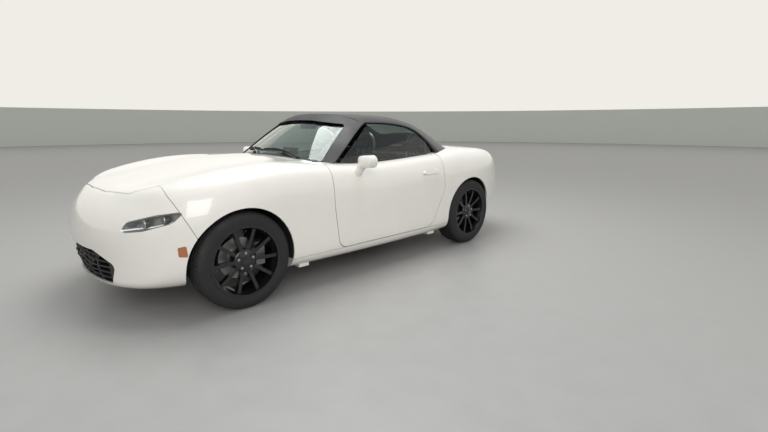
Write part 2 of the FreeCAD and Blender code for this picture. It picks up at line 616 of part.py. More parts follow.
def build_greenhouse(skin_top, net):
    screen_net = full_width(SCREEN)
    glass = patch_solid(offset_patch(screen_net, 0), offset_patch(screen_net, GLASS))
    save(glass.cut(skin_top), "windscreen")
    top_net = full_width(SOFT_TOP)
    top = patch_solid(offset_patch(top_net, 0), offset_patch(top_net, TOP_CLOTH))
    opening = plan_prism(REAR_WINDOW, 900, 1250)
    save(top.cut(skin_top).cut(opening), "soft_top")
    pane = patch_solid(offset_patch(top_net, 4), offset_patch(top_net, 8))
    save(pane.common(plan_prism(grown(REAR_WINDOW, -FIT), 900, 1250)), "rear_window")
    side_net = points_of(SIDE_GLASS)
    side = patch_solid(offset_patch(side_net, 0), offset_patch(side_net, GLASS))
    side = side.common(side_prism(SIDE_WINDOW, 400, 800)).cut(skin_top)
    save(side, "door_glass_left")
    save(mirror_x(side), "door_glass_right")
    frame_net = full_width(SCREEN_FRAME)
    frame = patch_solid(offset_patch(frame_net, 0), offset_patch(frame_net, FRAME_DEPTH))
    frame = frame.cut(front_prism(APERTURE, 1200, 1990)).cut(skin_top)
    frame = frame.cut(slab(screen_net, 60, GLASS + FIT, 1)).cut(slab(top_net, 60, TOP_CLOTH + FIT, 2))
    over_door = skin_solid(inset_net(net, -MOVING_GAP)).common(side_prism(grown(DOOR, MOVING_GAP), 560, 950))
    frame = cut_all(frame, both([over_door.cut(pillar_foot())]))
    save(frame, "windscreen_frame")
    mirror = mirror_solid(skin_top)
    save(mirror, "mirror_left")
    save(mirror_x(mirror), "mirror_right")


# Structure under the skin
SHEET = 12.0
FLOOR_EDGE_X = SILL_INNER_X - FIT
LINER = 6.0
TUNNEL_X = 132.0
TUNNEL_TOP_Z = 390.0
RAIL_X0, RAIL_X1 = 404.0, ARCH_INNER_X - LINER - FIT
RAIL_Z0, RAIL_Z1 = 330.0, 430.0
RADIATOR_D = 340.0
BOOT_FLOOR_Z = 372.0
BOOT_FRONT_D, BOOT_REAR_D = 3225.0, 3800.0

FIREWALL = [(FIREWALL_D, FLOOR_Z + SHEET + FIT), (FIREWALL_D + SHEET, FLOOR_Z + SHEET + FIT),
            (FIREWALL_D + SHEET, 588), (1300, 588), (1300, 960), (1288, 960), (1288, 600),
            (FIREWALL_D, 600)]

# Seats, dashboard and steering wheel
SEAT_X = 365.0
DASHBOARD = [(1330, 800), (1420, 842, 60), (1600, 838, 60), (1668, 770, 40), (1640, 640, 40),
             (1560, 560, 40), (1480, 560), (1330, 700)]
STEERING_X = 370.0
STEERING_D = 1800.0
STEERING_Z = 735.0
STEERING_RAKE = 24.0
WHEEL_RIM_RADIUS = 178.0
WHEEL_RIM_TUBE = 14.0

# Running gear
KINGPIN_X = 672.0
HUB_INNER = -4.0
DISC_X = 700.0
DISC_THICKNESS = 22.0
DISC_RADIUS = 132.0
BALL_FOOT_Z = 210.0
BALL_TOP_Z = 440.0
SPOKES = 10
TYRE_FACETS = 88
PIPE_X = -92.0
PIPE_Z = 181.0
PIPE_RADIUS = 24.0


def body_room(net):
    """The space that the inner structure may fill: inside the panels and clear of what moves."""
    room = skin_solid(inset_net(net, PANEL + FIT))
    clear = skin_solid(inset_net(net, PANEL + MOVING_GAP + 2))
    lids = [plan_prism(grown(BONNET, MOVING_GAP), 560, 1000),
            plan_prism(grown(BOOT_LID, MOVING_GAP), BOOT_LID_FOOT_Z - MOVING_GAP, 1000)]
    under_lids = Part.makeCompound([room.cut(clear).common(lid) for lid in lids])
    room = room.cut(under_lids)
    door = side_prism(grown(DOOR, MOVING_GAP), CABIN_SIDE_X, 950)
    return cut_all(room, both([door] + arch_spaces()))


def wheel_boxes(margin):
    """The space of the wheelhouses, grown by margin."""
    tools = []
    for axle_y in (FRONT_AXLE_Y, REAR_AXLE_Y):
        tools.append(cylinder_x(ARCH_RADIUS + LINER + margin, ARCH_INNER_X - LINER - margin, 950,
                                axle_y, TYRE_RADIUS))
    return tools


def front_face_bar(length, radius):
    """Round bar on the towing eye's axis that ends just ahead of the front cross beam."""
    end = V(EYE_X, NOSE_Y + BEAM_D - FIT, EYE_Z)
    return bar(end - V(0, length, 0), end, radius)


def build_structure(net, net_shell):
    room = body_room(net)
    sill_zone = block(SILL_INNER_X - FIT, 950, 0, LENGTH, 0, SILL_TOP_Z + FIT)
    liners = []
    for axle_d in (FRONT_AXLE_D, REAR_AXLE_D):
        y = NOSE_Y + axle_d
        shell = cylinder_x(ARCH_RADIUS + LINER, ARCH_INNER_X - LINER, 950, y, TYRE_RADIUS)
        shell = shell.cut(cylinder_x(ARCH_RADIUS, ARCH_INNER_X, 950, y, TYRE_RADIUS))
        shell = shell.cut(block(0, ARCH_INNER_X + 1, axle_d - 170, axle_d + 170, 0, 475))
        shell = shell.common(block(0, 950, 0, LENGTH, FLOOR_Z + SHEET + FIT, 1000))
        liners.append(shell.cut(sill_zone).common(room))
    save(Part.makeCompound(both(liners)), "wheelhouses")

    room = cut_all(room, both([sill_zone] + wheel_boxes(FIT)))
    plate = block(-FLOOR_EDGE_X, FLOOR_EDGE_X, FIREWALL_D, BULKHEAD_D + 20, FLOOR_Z, FLOOR_Z + SHEET)
    hump = block(-TUNNEL_X, TUNNEL_X, FIREWALL_D, BULKHEAD_D, FLOOR_Z, TUNNEL_TOP_Z)
    hollow = block(-TUNNEL_X + SHEET, TUNNEL_X - SHEET, 0, LENGTH, 0, TUNNEL_TOP_Z - SHEET)
    floor = plate.fuse(hump).cut(hollow)
    floor = cut_all(floor, both(wheel_boxes(FIT)))
    tray = net_shell.common(block(-950, 950, 0, TRAY_REAR_D, 0, TRAY_TOP_Z))
    save(Part.makeCompound([floor, cut_all(tray, both([arch_spaces()[0]]))]), "floor_pan")

    gearbox_hole = block(-TUNNEL_X - FIT, TUNNEL_X + FIT, 0, LENGTH, 0, TUNNEL_TOP_Z + FIT)
    wall = side_prism(FIREWALL, -CABIN_SIDE_X, CABIN_SIDE_X).cut(gearbox_hole)
    post = block(643, 800, 1289, DOOR_FRONT_D - 14, FLOOR_Z + SHEET + FIT, 780)
    save(wall.fuse(both([post])).common(room), "firewall")

    back = block(-640, 640, BULKHEAD_D, BULKHEAD_D + SHEET, FLOOR_Z + SHEET + FIT, 832)
    shelf = block(-640, 640, BULKHEAD_D, BOOT_FRONT_D - FIT, 820, 832)
    side = block(656, 668, 2660, BULKHEAD_D + SHEET, SILL_TOP_Z + FIT, 900)
    side = side.fuse(block(640, 668, BULKHEAD_D, BULKHEAD_D + SHEET, SILL_TOP_Z + FIT, 900))
    post = block(656, 800, 2660, 2700, SILL_TOP_Z + FIT, 900)
    tank_floor = block(-RAIL_X1, RAIL_X1, BULKHEAD_D, BOOT_FRONT_D - FIT, 480, 480 + SHEET)
    wall = back.fuse([shelf, tank_floor] + both([side, post])).cut(gearbox_hole).common(room)
    save(wall, "rear_bulkhead")

    outer = block(-RAIL_X1, RAIL_X1, BOOT_FRONT_D, BOOT_REAR_D, BOOT_FLOOR_Z, 1000)
    inner = block(-RAIL_X1 + SHEET, RAIL_X1 - SHEET, BOOT_FRONT_D + SHEET, BOOT_REAR_D - SHEET,
                  BOOT_FLOOR_Z + SHEET, 1100)
    save(outer.cut(inner).common(skin_solid(inset_net(net, PANEL + MOVING_GAP + 2))), "boot_tub")

    rail = block(RAIL_X0, RAIL_X1, BEAM_D, FIREWALL_D - FIT, RAIL_Z0, RAIL_Z1)
    cross = block(-RAIL_X1, RAIL_X1, BEAM_D, BEAM_D + 60, RAIL_Z0, RAIL_Z1)
    radiator = block(-RAIL_X0 - 1, RAIL_X0 + 1, RADIATOR_D, RADIATOR_D + 45, 215, 600)
    web = block(RAIL_X0 + 40, RAIL_X1, 400, FIREWALL_D - FIT, RAIL_Z1 - 1, 900)
    save(cross.fuse([radiator] + both([rail, web])).common(room), "front_structure")
    socket = front_face_bar(EYE_SOCKET_LENGTH, EYE_SOCKET_RADIUS).cut(front_face_bar(EYE_SOCKET_LENGTH, EYE_THREAD_RADIUS))
    save(socket, "tow_socket")
    return room


def build_front_end(body, net):
    back = skin_solid(inset_net(net, PANEL + FIT)).cut(skin_solid(inset_net(net, PANEL + 8)))
    grille = back.common(front_prism(grown(MOUTH, 12), 0, 170))
    slots = []
    for row in range(6):
        z = 218 + row * 32
        for column in range(-3, 4):
            slots.append(block(column * 116 - 54, column * 116 + 54, -10, 200, z, z + 24))
    window = front_prism(grown(MOUTH, -4), -10, 200)
    save(grille.cut(Part.makeCompound(slots).common(window)), "grille")


def tyre_solid():
    """Plain ring on the rim's seats, clear of its flanges, in flat facets that keep four tyres light.
    The road tread stays with the scene."""
    half, bead, road = TYRE_WIDTH / 2, RIM_RADIUS + FIT, TYRE_RADIUS
    left = [(-92, bead), (-92, bead + 13), (-half, bead + 44), (24 - half, road)]
    section = left + [(-x, r) for x, r in reversed(left)]
    rings = []
    for k in range(TYRE_FACETS + 1):
        a = 2 * math.pi * (k % TYRE_FACETS) / TYRE_FACETS
        rings.append([V(x, r * math.sin(a), -r * math.cos(a)) for x, r in section + section[:1]])
    faces = []
    for here, there in zip(rings, rings[1:]):
        for j in range(len(section)):
            corners = [here[j], here[j + 1], there[j + 1], there[j], here[j]]
            faces.append(Part.Face(Part.makePolygon(corners)))
    shell = Part.Shell(faces)
    shell.sewShape()
    solid = Part.Solid(shell)
    if solid.Volume < 0:
        solid.reverse()
    return solid


def wheel_solid():
    """Alloy wheel with ten spokes, its hub and the brake disc bolted to it, about the origin."""
    seat = RIM_RADIUS
    barrel = revolve_x([(-99, seat + 9), (-93, seat + 9), (-92, seat), (-58, seat), (-50, seat - 12),
                        (50, seat - 12), (58, seat), (92, seat), (93, seat + 9), (99, seat + 9),
                        (99, seat - 6), (54, seat - 20), (-50, seat - 20), (-99, seat - 6)])
    hub = revolve_x([(-4, 0), (78, 0), (82, 28, 8), (70, 74, 16), (20, 80, 10), (-4, 76)])
    wheel = barrel.fuse(hub)
    spoke = face_from([(66, 60), (38, 60), (50, 204), (84, 204), (82, 150, 200)],
                      lambda x, r: V(x, 0, r))
    spoke = spoke.extrude(V(0, 22, 0))
    spoke.translate(V(0, -11, 0))
    spokes = []
    for k in range(SPOKES):
        copy = spoke.copy()
        copy.rotate(V(0, 0, 0), V(1, 0, 0), 360.0 * (k + 0.5) / SPOKES)
        spokes.append(copy)
    disc_x = DISC_X - FRONT_WHEEL_X
    disc = revolve_x([(disc_x, 50), (disc_x, DISC_RADIUS), (disc_x + DISC_THICKNESS, DISC_RADIUS),
                      (disc_x + DISC_THICKNESS, 72), (-3, 72), (-3, 50)])
    return wheel.fuse(spokes + [disc])


def caliper_solid(y, z, disc_x):
    """Floating caliper over the rear edge of the disc."""
    side_gap = 4.0
    jaw = Part.makeBox(DISC_THICKNESS + 2 * side_gap + 66, 62, 150, V(disc_x - side_gap - 22, y + 96, z - 60))
    slot = cylinder_x(DISC_RADIUS + 6, disc_x - side_gap, disc_x + DISC_THICKNESS + side_gap, y, z)
    bracket = Part.makeBox(30, 120, 60, V(disc_x - 46, y + 20, z - 10))
    return jaw.cut(slot).fuse(bracket)


def upright_solid(y, wheel_x):
    """Hub carrier between the ball joints, with the stub that carries the hub, and the caliper."""
    z = TYRE_RADIUS
    inner_x = wheel_x - FRONT_WHEEL_X + KINGPIN_X - 24
    post = Part.makeBox(44, 60, BALL_TOP_Z - BALL_FOOT_Z - 2 * FIT, V(inner_x, y - 30, BALL_FOOT_Z + FIT))
    stub = cylinder_x(36, inner_x + 4, wheel_x + HUB_INNER - FIT, y, z)
    keep = cylinder_x(RIM_RADIUS - 30, 500, 900, y, z)
    caliper = caliper_solid(y, z, wheel_x - FRONT_WHEEL_X + DISC_X)
    return post.fuse([stub, caliper]).common(keep)


def knuckle_solid(y):
    arm = Part.makeBox(28, 110, 24, V(KINGPIN_X - 30, y - 128, 226))
    return upright_solid(y, FRONT_WHEEL_X).fuse(arm)


def build_wheels():
    for solid, name in ((tyre_solid(), "tyre"), (wheel_solid(), "wheel")):
        for end, axle_y, track_x in (("front", FRONT_AXLE_Y, FRONT_WHEEL_X), ("rear", REAR_AXLE_Y, REAR_WHEEL_X)):
            shape = solid.translated(V(track_x, axle_y, TYRE_RADIUS))
            save(shape, "%s_%s_left" % (name, end))
            save(mirror_x(shape), "%s_%s_right" % (name, end))
    knuckle = knuckle_solid(FRONT_AXLE_Y)
    save(knuckle, "knuckle_left")
    save(mirror_x(knuckle), "knuckle_right")


def build_suspension():
    y = FRONT_AXLE_Y
    cross = Part.makeBox(2 * 380, 190, 44, V(-380, y - 95, 176))
    rack = cylinder_x(22, -400, 400, y - 118, 246)
    parts = [Part.makeBox(36, 150, RAIL_Z0 - 219 - FIT, V(RAIL_X0, y - 75, 219)),
             Part.makeBox(60, 150, 30, V(370, y - 75, 190)),
             Part.makeBox(40, 50, 40, V(330, y - 140, 216)),
             Part.makeCylinder(20, 34, V(KINGPIN_X, y, BALL_FOOT_Z - 34)),
             Part.makeCylinder(18, 28, V(KINGPIN_X, y, BALL_TOP_Z)),
             bar(V(480, y - 135, 452), V(480, y + 135, 452), 16),
             bar(V(568, y, 197), V(506, y, 646), 26),
             bar(V(390, y - 118, 246), V(590, y - 118, 238), 9)]
    for side in (-1, 1):
        parts.append(bar(V(400, y + side * 84, 205), V(664, y + side * 8, 193), 14))
        parts.append(bar(V(480, y + side * 110, 452), V(664, y + side * 8, 453), 12))
    save(cross.fuse(both(parts) + [rack]), "front_suspension")

    y = REAR_AXLE_Y
    cross = Part.makeBox(2 * 330, 300, 40, V(-330, y - 150, 206))
    inner_x = KINGPIN_X + REAR_WHEEL_X - FRONT_WHEEL_X - 24
    shaft_hole = cylinder_x(26, 280, 360, y, TYRE_RADIUS)
    parts = [Part.makeBox(40, 260, 250, V(300, y - 130, 216)).cut(shaft_hole),
             Part.makeBox(40, 80, 480 - 465 - FIT, V(300, y - 40, 465)),
             upright_solid(y, REAR_WHEEL_X),
             bar(V(560, y + 56, 232), V(508, y + 56, 640), 26)]
    for side in (-1, 1):
        parts.append(bar(V(330, y + side * 110, 236), V(inner_x + 10, y + side * 22, 232), 14))
        parts.append(bar(V(330, y + side * 100, 440), V(inner_x + 10, y + side * 18, 428), 12))
    parts.append(bar(V(520, y + 40, 233), V(560, y + 56, 233), 16))
    save(cross.fuse(both(parts)), "rear_suspension")


def build_powertrain():
    save(block(-180, 180, 600, 1040, 272, 690), "engine_block")
    box = Part.makeCone(92, 60, 440, V(0, NOSE_Y + 1040 + FIT, 284), V(0, 1, 0))
    shaft = Part.makeCylinder(34, 1430, V(0, NOSE_Y + 1470, 284), V(0, 1, 0))
    diff = Part.makeBox(220, 220, 160, V(-110, REAR_AXLE_Y - 150, 246 + FIT))
    half = cylinder_x(15, 100, 653, REAR_AXLE_Y, TYRE_RADIUS)
    save(box.fuse([shaft, diff] + both([half])), "drivetrain")
    pipe = bar(V(PIPE_X, NOSE_Y + 950, PIPE_Z), V(PIPE_X, NOSE_Y + 3250, PIPE_Z), PIPE_RADIUS)
    rise = bar(V(PIPE_X, NOSE_Y + 3240, PIPE_Z), V(PIPE_X, NOSE_Y + 3540, 255), PIPE_RADIUS)
    muffler = Part.makeCylinder(78, 640, V(-330, NOSE_Y + 3560, 270), V(1, 0, 0))
    start, end = exhaust_tip()
    link = bar(V(-300, NOSE_Y + 3560, 268), V(TIP_X, NOSE_Y + 3610, 258), 26)
    straps = [block(x - 20, x + 20, 3545, 3575, 340, BOOT_FLOOR_Z - FIT) for x in (-250, 230)]
    save(pipe.fuse([rise, muffler, link, bar(start, end, TIP_RADIUS)] + straps), "exhaust")


def seat_solid():
    """Cushion, backrest and head restraint in one closed form."""
    side = [(2030, 230), (2010, 345, 60), (2120, 372, 200), (2440, 300, 60), (2560, 560, 300),
            (2640, 850, 80), (2668, 985, 30), (2745, 985, 30), (2722, 850, 200), (2640, 420, 200),
            (2590, 230, 60)]
    seat = side_prism(side, 155, 575)
    trim = front_prism([(155, 200), (155, 640), (185, 830, 80), (250, 880, 30), (262, 1000, 60),
                        (468, 1000, 60), (480, 880, 30), (545, 830, 80), (575, 640), (575, 200)], 1900, 2800)
    return seat.common(trim)


def build_cabin(room):
    dash = side_prism(DASHBOARD, -640, 640)
    column = V(STEERING_X, NOSE_Y + STEERING_D, STEERING_Z)
    rake = math.radians(STEERING_RAKE)
    along = V(0, -math.cos(rake), -math.sin(rake))
    column_bar = bar(column + along * (44 + FIT), column + along * 240, 34)
    console = block(-118, 118, 1560, 2560, TUNNEL_TOP_Z + FIT, TUNNEL_TOP_Z + 70)
    stack = block(-118, 118, 1500, 1640, TUNNEL_TOP_Z + FIT, 700)
    hood = front_prism([(STEERING_X - 150, 800), (STEERING_X - 132, 868, 50), (STEERING_X, 884, 200),
                        (STEERING_X + 132, 868, 50), (STEERING_X + 150, 800)], 1500, 1676)
    well = front_prism([(STEERING_X - 134, 806), (STEERING_X - 120, 858, 44), (STEERING_X, 872, 190),
                        (STEERING_X + 120, 858, 44), (STEERING_X + 134, 806)], 1620, 1700)
    trim = dash.fuse([hood.cut(well), column_bar, console, stack])
    limits = block(-640, 640, 1312, 2800, FLOOR_Z + SHEET + FIT, 1000)
    save(trim.common(limits).common(room), "dashboard")
    save(pair(seat_solid()), "seats")
    axis = along * -1
    ring = Part.makeTorus(WHEEL_RIM_RADIUS, WHEEL_RIM_TUBE, column, axis)
    boss = Part.makeCylinder(52, 34, column - axis * 44, axis)
    wheel = [boss]
    across = V(1, 0, 0)
    up = axis.cross(across)
    for angle in (0, 180, 270):
        a = math.radians(angle)
        way = across * math.cos(a) + up * math.sin(a)
        wheel.append(bar(column - axis * 28 + way * 30, column + way * (WHEEL_RIM_RADIUS - 4), 12))
    save(ring.fuse(wheel), "steering_wheel")
    hoops = []
    for x in (SEAT_X,):
        y = NOSE_Y + 2800
        left, right = V(x - 120, y, 832.3), V(x + 120, y, 832.3)
        legs = [bar(left, left + V(0, 0, 90), 17), bar(right, right + V(0, 0, 90), 17)]
        arch = Part.makeTorus(120, 17, V(x, y, 922.3), V(0, 1, 0))
        arch = arch.common(Part.makeBox(400, 100, 300, V(x - 200, y - 50, 922.3)))
        hoops.append(arch.fuse(legs))
    save(Part.makeCompound(both(hoops)), "roll_hoops")


def mirror_solid(skin_top):
    """Egg-shaped shell, cut flat for the glass, on a foot that stands on the door's shoulder."""
    pod = Part.makeSphere(1.0)
    matrix = FreeCAD.Matrix()
    matrix.scale(V(98, 88, 76))
    pod = pod.transformGeometry(matrix)
    pod.translate(V(MIRROR_X, NOSE_Y + MIRROR_D, MIRROR_Z))
    sides = [(-76, -38, 30), (-74, 34, 34), (40, 50, 50), (76, 14, 40), (58, -46, 36)]
    pod = pod.common(front_prism([(MIRROR_X + x, MIRROR_Z + z, r) for x, z, r in sides], MIRROR_D - 100, MIRROR_D + 8))
    start, end = V(778, NOSE_Y + MIRROR_D - 36, MIRROR_Z - 94), V(MIRROR_X - 34, NOSE_Y + MIRROR_D - 30, MIRROR_Z - 22)
    foot = Part.makeCone(36, 26, (end - start).Length, start, end - start)
    return pod.fuse(foot.cut(skin_top))


def build_car():
    os.makedirs("parts", exist_ok=True)
    net = skin_rings()
    body = skin_solid(net)
    shell = body.cut(skin_solid(inset_net(net, PANEL)))
    skin_top = skin_solid(inset_net(net, -SEAT_GAP))
    build_bonnet_and_lids(shell)
    build_outer_panels(body, shell, net)
    build_lamps(body, net)
    build_greenhouse(skin_top, net)
    room = build_structure(net, shell)
    build_front_end(body, net)
    build_cabin(room)
    build_wheels()
    build_suspension()
    build_powertrain()


build_car()
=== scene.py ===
"""Two-seat roadster with its cloth top up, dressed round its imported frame.

Metres, +Z up, nose towards -Y, the car's left side towards +X.
"""
import math

import bpy
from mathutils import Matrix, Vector, noise


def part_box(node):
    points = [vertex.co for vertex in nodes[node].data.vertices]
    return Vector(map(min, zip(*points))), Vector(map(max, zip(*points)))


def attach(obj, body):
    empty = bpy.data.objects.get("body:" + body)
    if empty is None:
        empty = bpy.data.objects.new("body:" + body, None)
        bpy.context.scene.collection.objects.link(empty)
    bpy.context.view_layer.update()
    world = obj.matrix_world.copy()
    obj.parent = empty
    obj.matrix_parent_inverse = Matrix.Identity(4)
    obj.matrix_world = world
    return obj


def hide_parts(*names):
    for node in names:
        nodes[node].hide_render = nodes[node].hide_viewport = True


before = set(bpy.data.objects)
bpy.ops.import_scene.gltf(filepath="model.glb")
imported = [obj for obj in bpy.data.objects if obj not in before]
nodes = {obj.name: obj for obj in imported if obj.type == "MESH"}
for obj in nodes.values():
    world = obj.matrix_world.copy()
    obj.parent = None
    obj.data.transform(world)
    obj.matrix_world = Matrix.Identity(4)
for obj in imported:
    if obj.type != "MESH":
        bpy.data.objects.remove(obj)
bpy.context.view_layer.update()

# Body panels: pressed steel with moulded bumpers, all in one warm white coat under a clear lacquer.
# The frame holds their shape. Here they get the coat, with the lacquer's faint orange peel.
# Distances along the car are given as metres behind the nose, as a body shop measures them.
NOSE_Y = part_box("front_bumper")[0].y
SIDES = (("left", 1), ("right", -1))


def at(x, behind_nose, z):
    return Vector((x, NOSE_Y + behind_nose, z))


def shader_node(tree, kind, inputs=None, **settings):
    """Adds a shader node; an input is a plain value or another node's output."""
    made = tree.nodes.new("ShaderNode" + kind)
    for key, value in settings.items():
        setattr(made, key, value)
    for key, value in (inputs or {}).items():
        if isinstance(value, bpy.types.NodeSocket):
            tree.links.new(value, made.inputs[key])
        else:
            made.inputs[key].default_value = value
    return made


def worked_out(tree, operation, first, second, **settings):
    """One sum of two values."""
    return shader_node(tree, "Math", {0: first, 1: second}, operation=operation, **settings).outputs[0]


def clouds(tree, place, scale, detail, reach):
    """Soft cloudy noise, spread from -reach to reach."""
    cloud = shader_node(tree, "TexNoise", {"Vector": place, "Scale": scale, "Detail": detail}).outputs["Fac"]
    return shader_node(tree, "MapRange", {"Value": cloud, "From Min": 0.3, "From Max": 0.7, "To Min": -reach,
                                          "To Max": reach}).outputs[0]


def new_effect(name, inputs):
    """An empty shader group; inputs are name: default, and it gives a colour, a roughness and a normal."""
    group = bpy.data.node_groups.new(name, "ShaderNodeTree")
    for label, value in inputs.items():
        kind = "NodeSocketColor" if isinstance(value, tuple) else "NodeSocketFloat"
        group.interface.new_socket(label, in_out="INPUT", socket_type=kind).default_value = value
    for label, kind in (("Colour", "Color"), ("Roughness", "Float"), ("Normal", "Vector")):
        group.interface.new_socket(label, in_out="OUTPUT", socket_type="NodeSocket" + kind)
    return group, group.nodes.new("NodeGroupInput").outputs, group.nodes.new("NodeGroupOutput").inputs


def give_out(group, result, colour, brightness, roughness, relief):
    """Joins an effect's colour at its brightness, its roughness and its relief to the group's outputs."""
    mixed = shader_node(group, "VectorMath", {0: colour, "Scale": brightness}, operation="SCALE").outputs[0]
    group.links.new(mixed, result["Colour"])
    group.links.new(roughness, result["Roughness"])
    group.links.new(shader_node(group, "Bump", relief).outputs[0], result["Normal"])
    return group


def grain_effect():
    """Moulded grain, cast skin or lacquer ripple: a mottled colour and a shallow relief of one size."""
    group, given, result = new_effect("surface_grain", {
        "Colour": (0.5, 0.5, 0.5, 1), "Roughness": 0.5, "Grain size": 0.002, "Depth": 0.0001, "Mottle": 0.05})
    place = shader_node(group, "TexCoord").outputs["Object"]
    scale = worked_out(group, "DIVIDE", 1.0, given["Grain size"])
    grain = shader_node(group, "TexNoise", {"Vector": place, "Scale": scale, "Detail": 3.0}).outputs["Fac"]
    amount = worked_out(group, "MULTIPLY", clouds(group, place, 6.0, 4.0, 1.0), given["Mottle"])
    rough = worked_out(group, "ADD", amount, given["Roughness"], use_clamp=True)
    return give_out(group, result, given["Colour"], worked_out(group, "ADD", amount, 1.0), rough,
                    {"Height": grain, "Strength": 1.0, "Distance": given["Depth"]})


def finish_of(name, slot, colour, roughness, effect=None, values=None, **plain):
    """A material with one shader; an effect, where given, varies its look. The slot argument is not used."""
    material = bpy.data.materials.new(name)
    material.use_nodes = True
    tree = material.node_tree
    shader = tree.nodes["Principled BSDF"]
    shader.inputs["Base Color"].default_value = (*colour, 1.0)
    shader.inputs["Roughness"].default_value = roughness
    for socket, value in plain.items():
        shader.inputs[socket.replace("_", " ")].default_value = value
    if effect:
        given = {"Colour": (*colour, 1.0), "Roughness": roughness, **values}
        made = shader_node(tree, "Group", given, node_tree=effect)
        for output, socket in (("Colour", "Base Color"), ("Roughness", "Roughness"), ("Normal", "Normal")):
            tree.links.new(made.outputs[output], shader.inputs[socket])
    return material


GRAIN = grain_effect()


def grained(name, slot, colour, roughness, size, depth, mottle, **plain):
    """A finish with surface grain of a size and depth, and a colour that varies by its mottle."""
    return finish_of(name, slot, colour, roughness, GRAIN,
                     {"Grain size": size, "Depth": depth, "Mottle": mottle}, **plain)


paint = grained("warm_white_paint", "body_paint", (0.82, 0.80, 0.75), 0.32, 0.006, 0.00002, 0.015,
                Coat_Weight=1.0, Coat_Roughness=0.03, Coat_IOR=1.5)
inner_paint = grained("primer_and_overspray", "body_paint", (0.62, 0.60, 0.55), 0.55, 0.004, 0.00006, 0.08)
underseal = grained("black_underseal", "black_plastic", (0.018, 0.018, 0.019), 0.75, 0.005, 0.0004, 0.25)
trim_black = grained("grained_black_trim", "black_plastic", (0.022, 0.022, 0.023), 0.55, 0.0012, 0.00008, 0.1)
gloss_black = grained("gloss_black", "black_plastic", (0.008, 0.008, 0.009), 0.12, 0.01, 0.00001, 0.02,
                      Coat_Weight=0.6)


def dress(names, *finishes):
    """Gives frame nodes their finishes, in the order of their material slots."""
    for name in names.split():
        held = nodes[name].data.materials
        held.clear()
        for finish in finishes:
            held.append(finish)


def second_finish(name, test):
    """Gives a node's second finish to the faces that pass the test."""
    for face in nodes[name].data.polygons:
        if test(face):
            face.material_index = 1


dress("bonnet boot_lid front_bumper rear_bumper front_wings rear_quarters door_left door_right sills "
      "mirror_left mirror_right", paint)
dress("wheelhouses", underseal)
dress("cowl_panel windscreen_frame", trim_black)

# Wheels: cast alloy in a dark machined grey, five nuts, a plain cap, and the brake disc behind.
# The frame's wheel is kept. Its disc faces are bare turned iron, and nuts, cap and valve are fitted.
WHEELS = [(end + "_" + side, outward) for end in ("front", "rear") for side, outward in SIDES]
DISC_RADIUS = 0.134
NUTS = 5
NUT_CIRCLE = 0.05
NUT_SEAT, CAP_SEAT, VALVE_SEAT = 0.0715, 0.082, 0.085
VALVE_RADIUS = 0.186
ALONG_X = (0, math.pi / 2, 0)
SHARP = math.radians(40)
wheel_grey = grained("dark_alloy", "wheel_alloy", (0.035, 0.036, 0.04), 0.3, 0.0015, 0.00003, 0.03,
                     Metallic=0.85, Coat_Weight=0.5)
turned_iron = grained("turned_brake_iron", "cast_metal", (0.32, 0.31, 0.30), 0.35, 0.002, 0.00004, 0.12,
                      Metallic=1.0)
steel = grained("zinc_steel", "cast_metal", (0.42, 0.42, 0.43), 0.35, 0.002, 0.00003, 0.1, Metallic=1.0)


def alone(piece):
    """Makes the piece the only selected and the active one."""
    bpy.ops.object.select_all(action="DESELECT")
    piece.select_set(True)
    bpy.context.view_layer.objects.active = piece


def settle(piece, name, finish, body="body", angle=40):
    """Puts a finished piece's place into its mesh, names and colours it, and hangs it on its body."""
    alone(piece)
    bpy.ops.object.transform_apply(location=True, rotation=True, scale=True)
    if piece.data.users > 1:
        piece.data = piece.data.copy()
    bpy.ops.object.shade_smooth_by_angle(angle=math.radians(angle))
    piece.name = name
    piece.data.name = name
    piece.data.materials.clear()
    piece.data.materials.append(finish)
    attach(piece, body)
    return piece


def shape_up(piece, kind, **settings):
    """Adds a modifier and applies it."""
    alone(piece)
    made = piece.modifiers.new(kind.lower(), kind)
    for key, value in settings.items():
        setattr(made, key, value)
    bpy.ops.object.modifier_apply(modifier=made.name)
    return piece


def edited(piece, *steps):
    """Runs mesh operators, each given with its settings, on all of a piece."""
    alone(piece)
    bpy.ops.object.mode_set(mode="EDIT")
    for step, settings in steps:
        bpy.ops.mesh.select_all(action="SELECT")
        step(**settings)
    bpy.ops.object.mode_set(mode="OBJECT")
    return piece


def started(scale=None):
    """The primitive just added, with nothing else selected, stretched by a scale."""
    made = bpy.context.active_object
    alone(made)
    if scale:
        made.scale = scale
    return made


def joined(pieces):
    """Several meshes as one."""
    alone(pieces[0])
    for piece in pieces[1:]:
        piece.select_set(True)
    bpy.ops.object.join()
    return bpy.context.active_object


def round_bar(radius, depth, location, rotation=(0, 0, 0), sides=24, bevel=0.0):
    """A turned cylinder with a small chamfer at both ends."""
    bpy.ops.mesh.primitive_cylinder_add(vertices=sides, radius=radius, depth=depth, location=location,
                                        rotation=rotation)
    made = started()
    if bevel:
        shape_up(made, "BEVEL", width=bevel, segments=2, limit_method="ANGLE", angle_limit=SHARP)
    return made


def wheel_centre(corner):
    low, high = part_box("tyre_" + corner)
    return (low + high) / 2


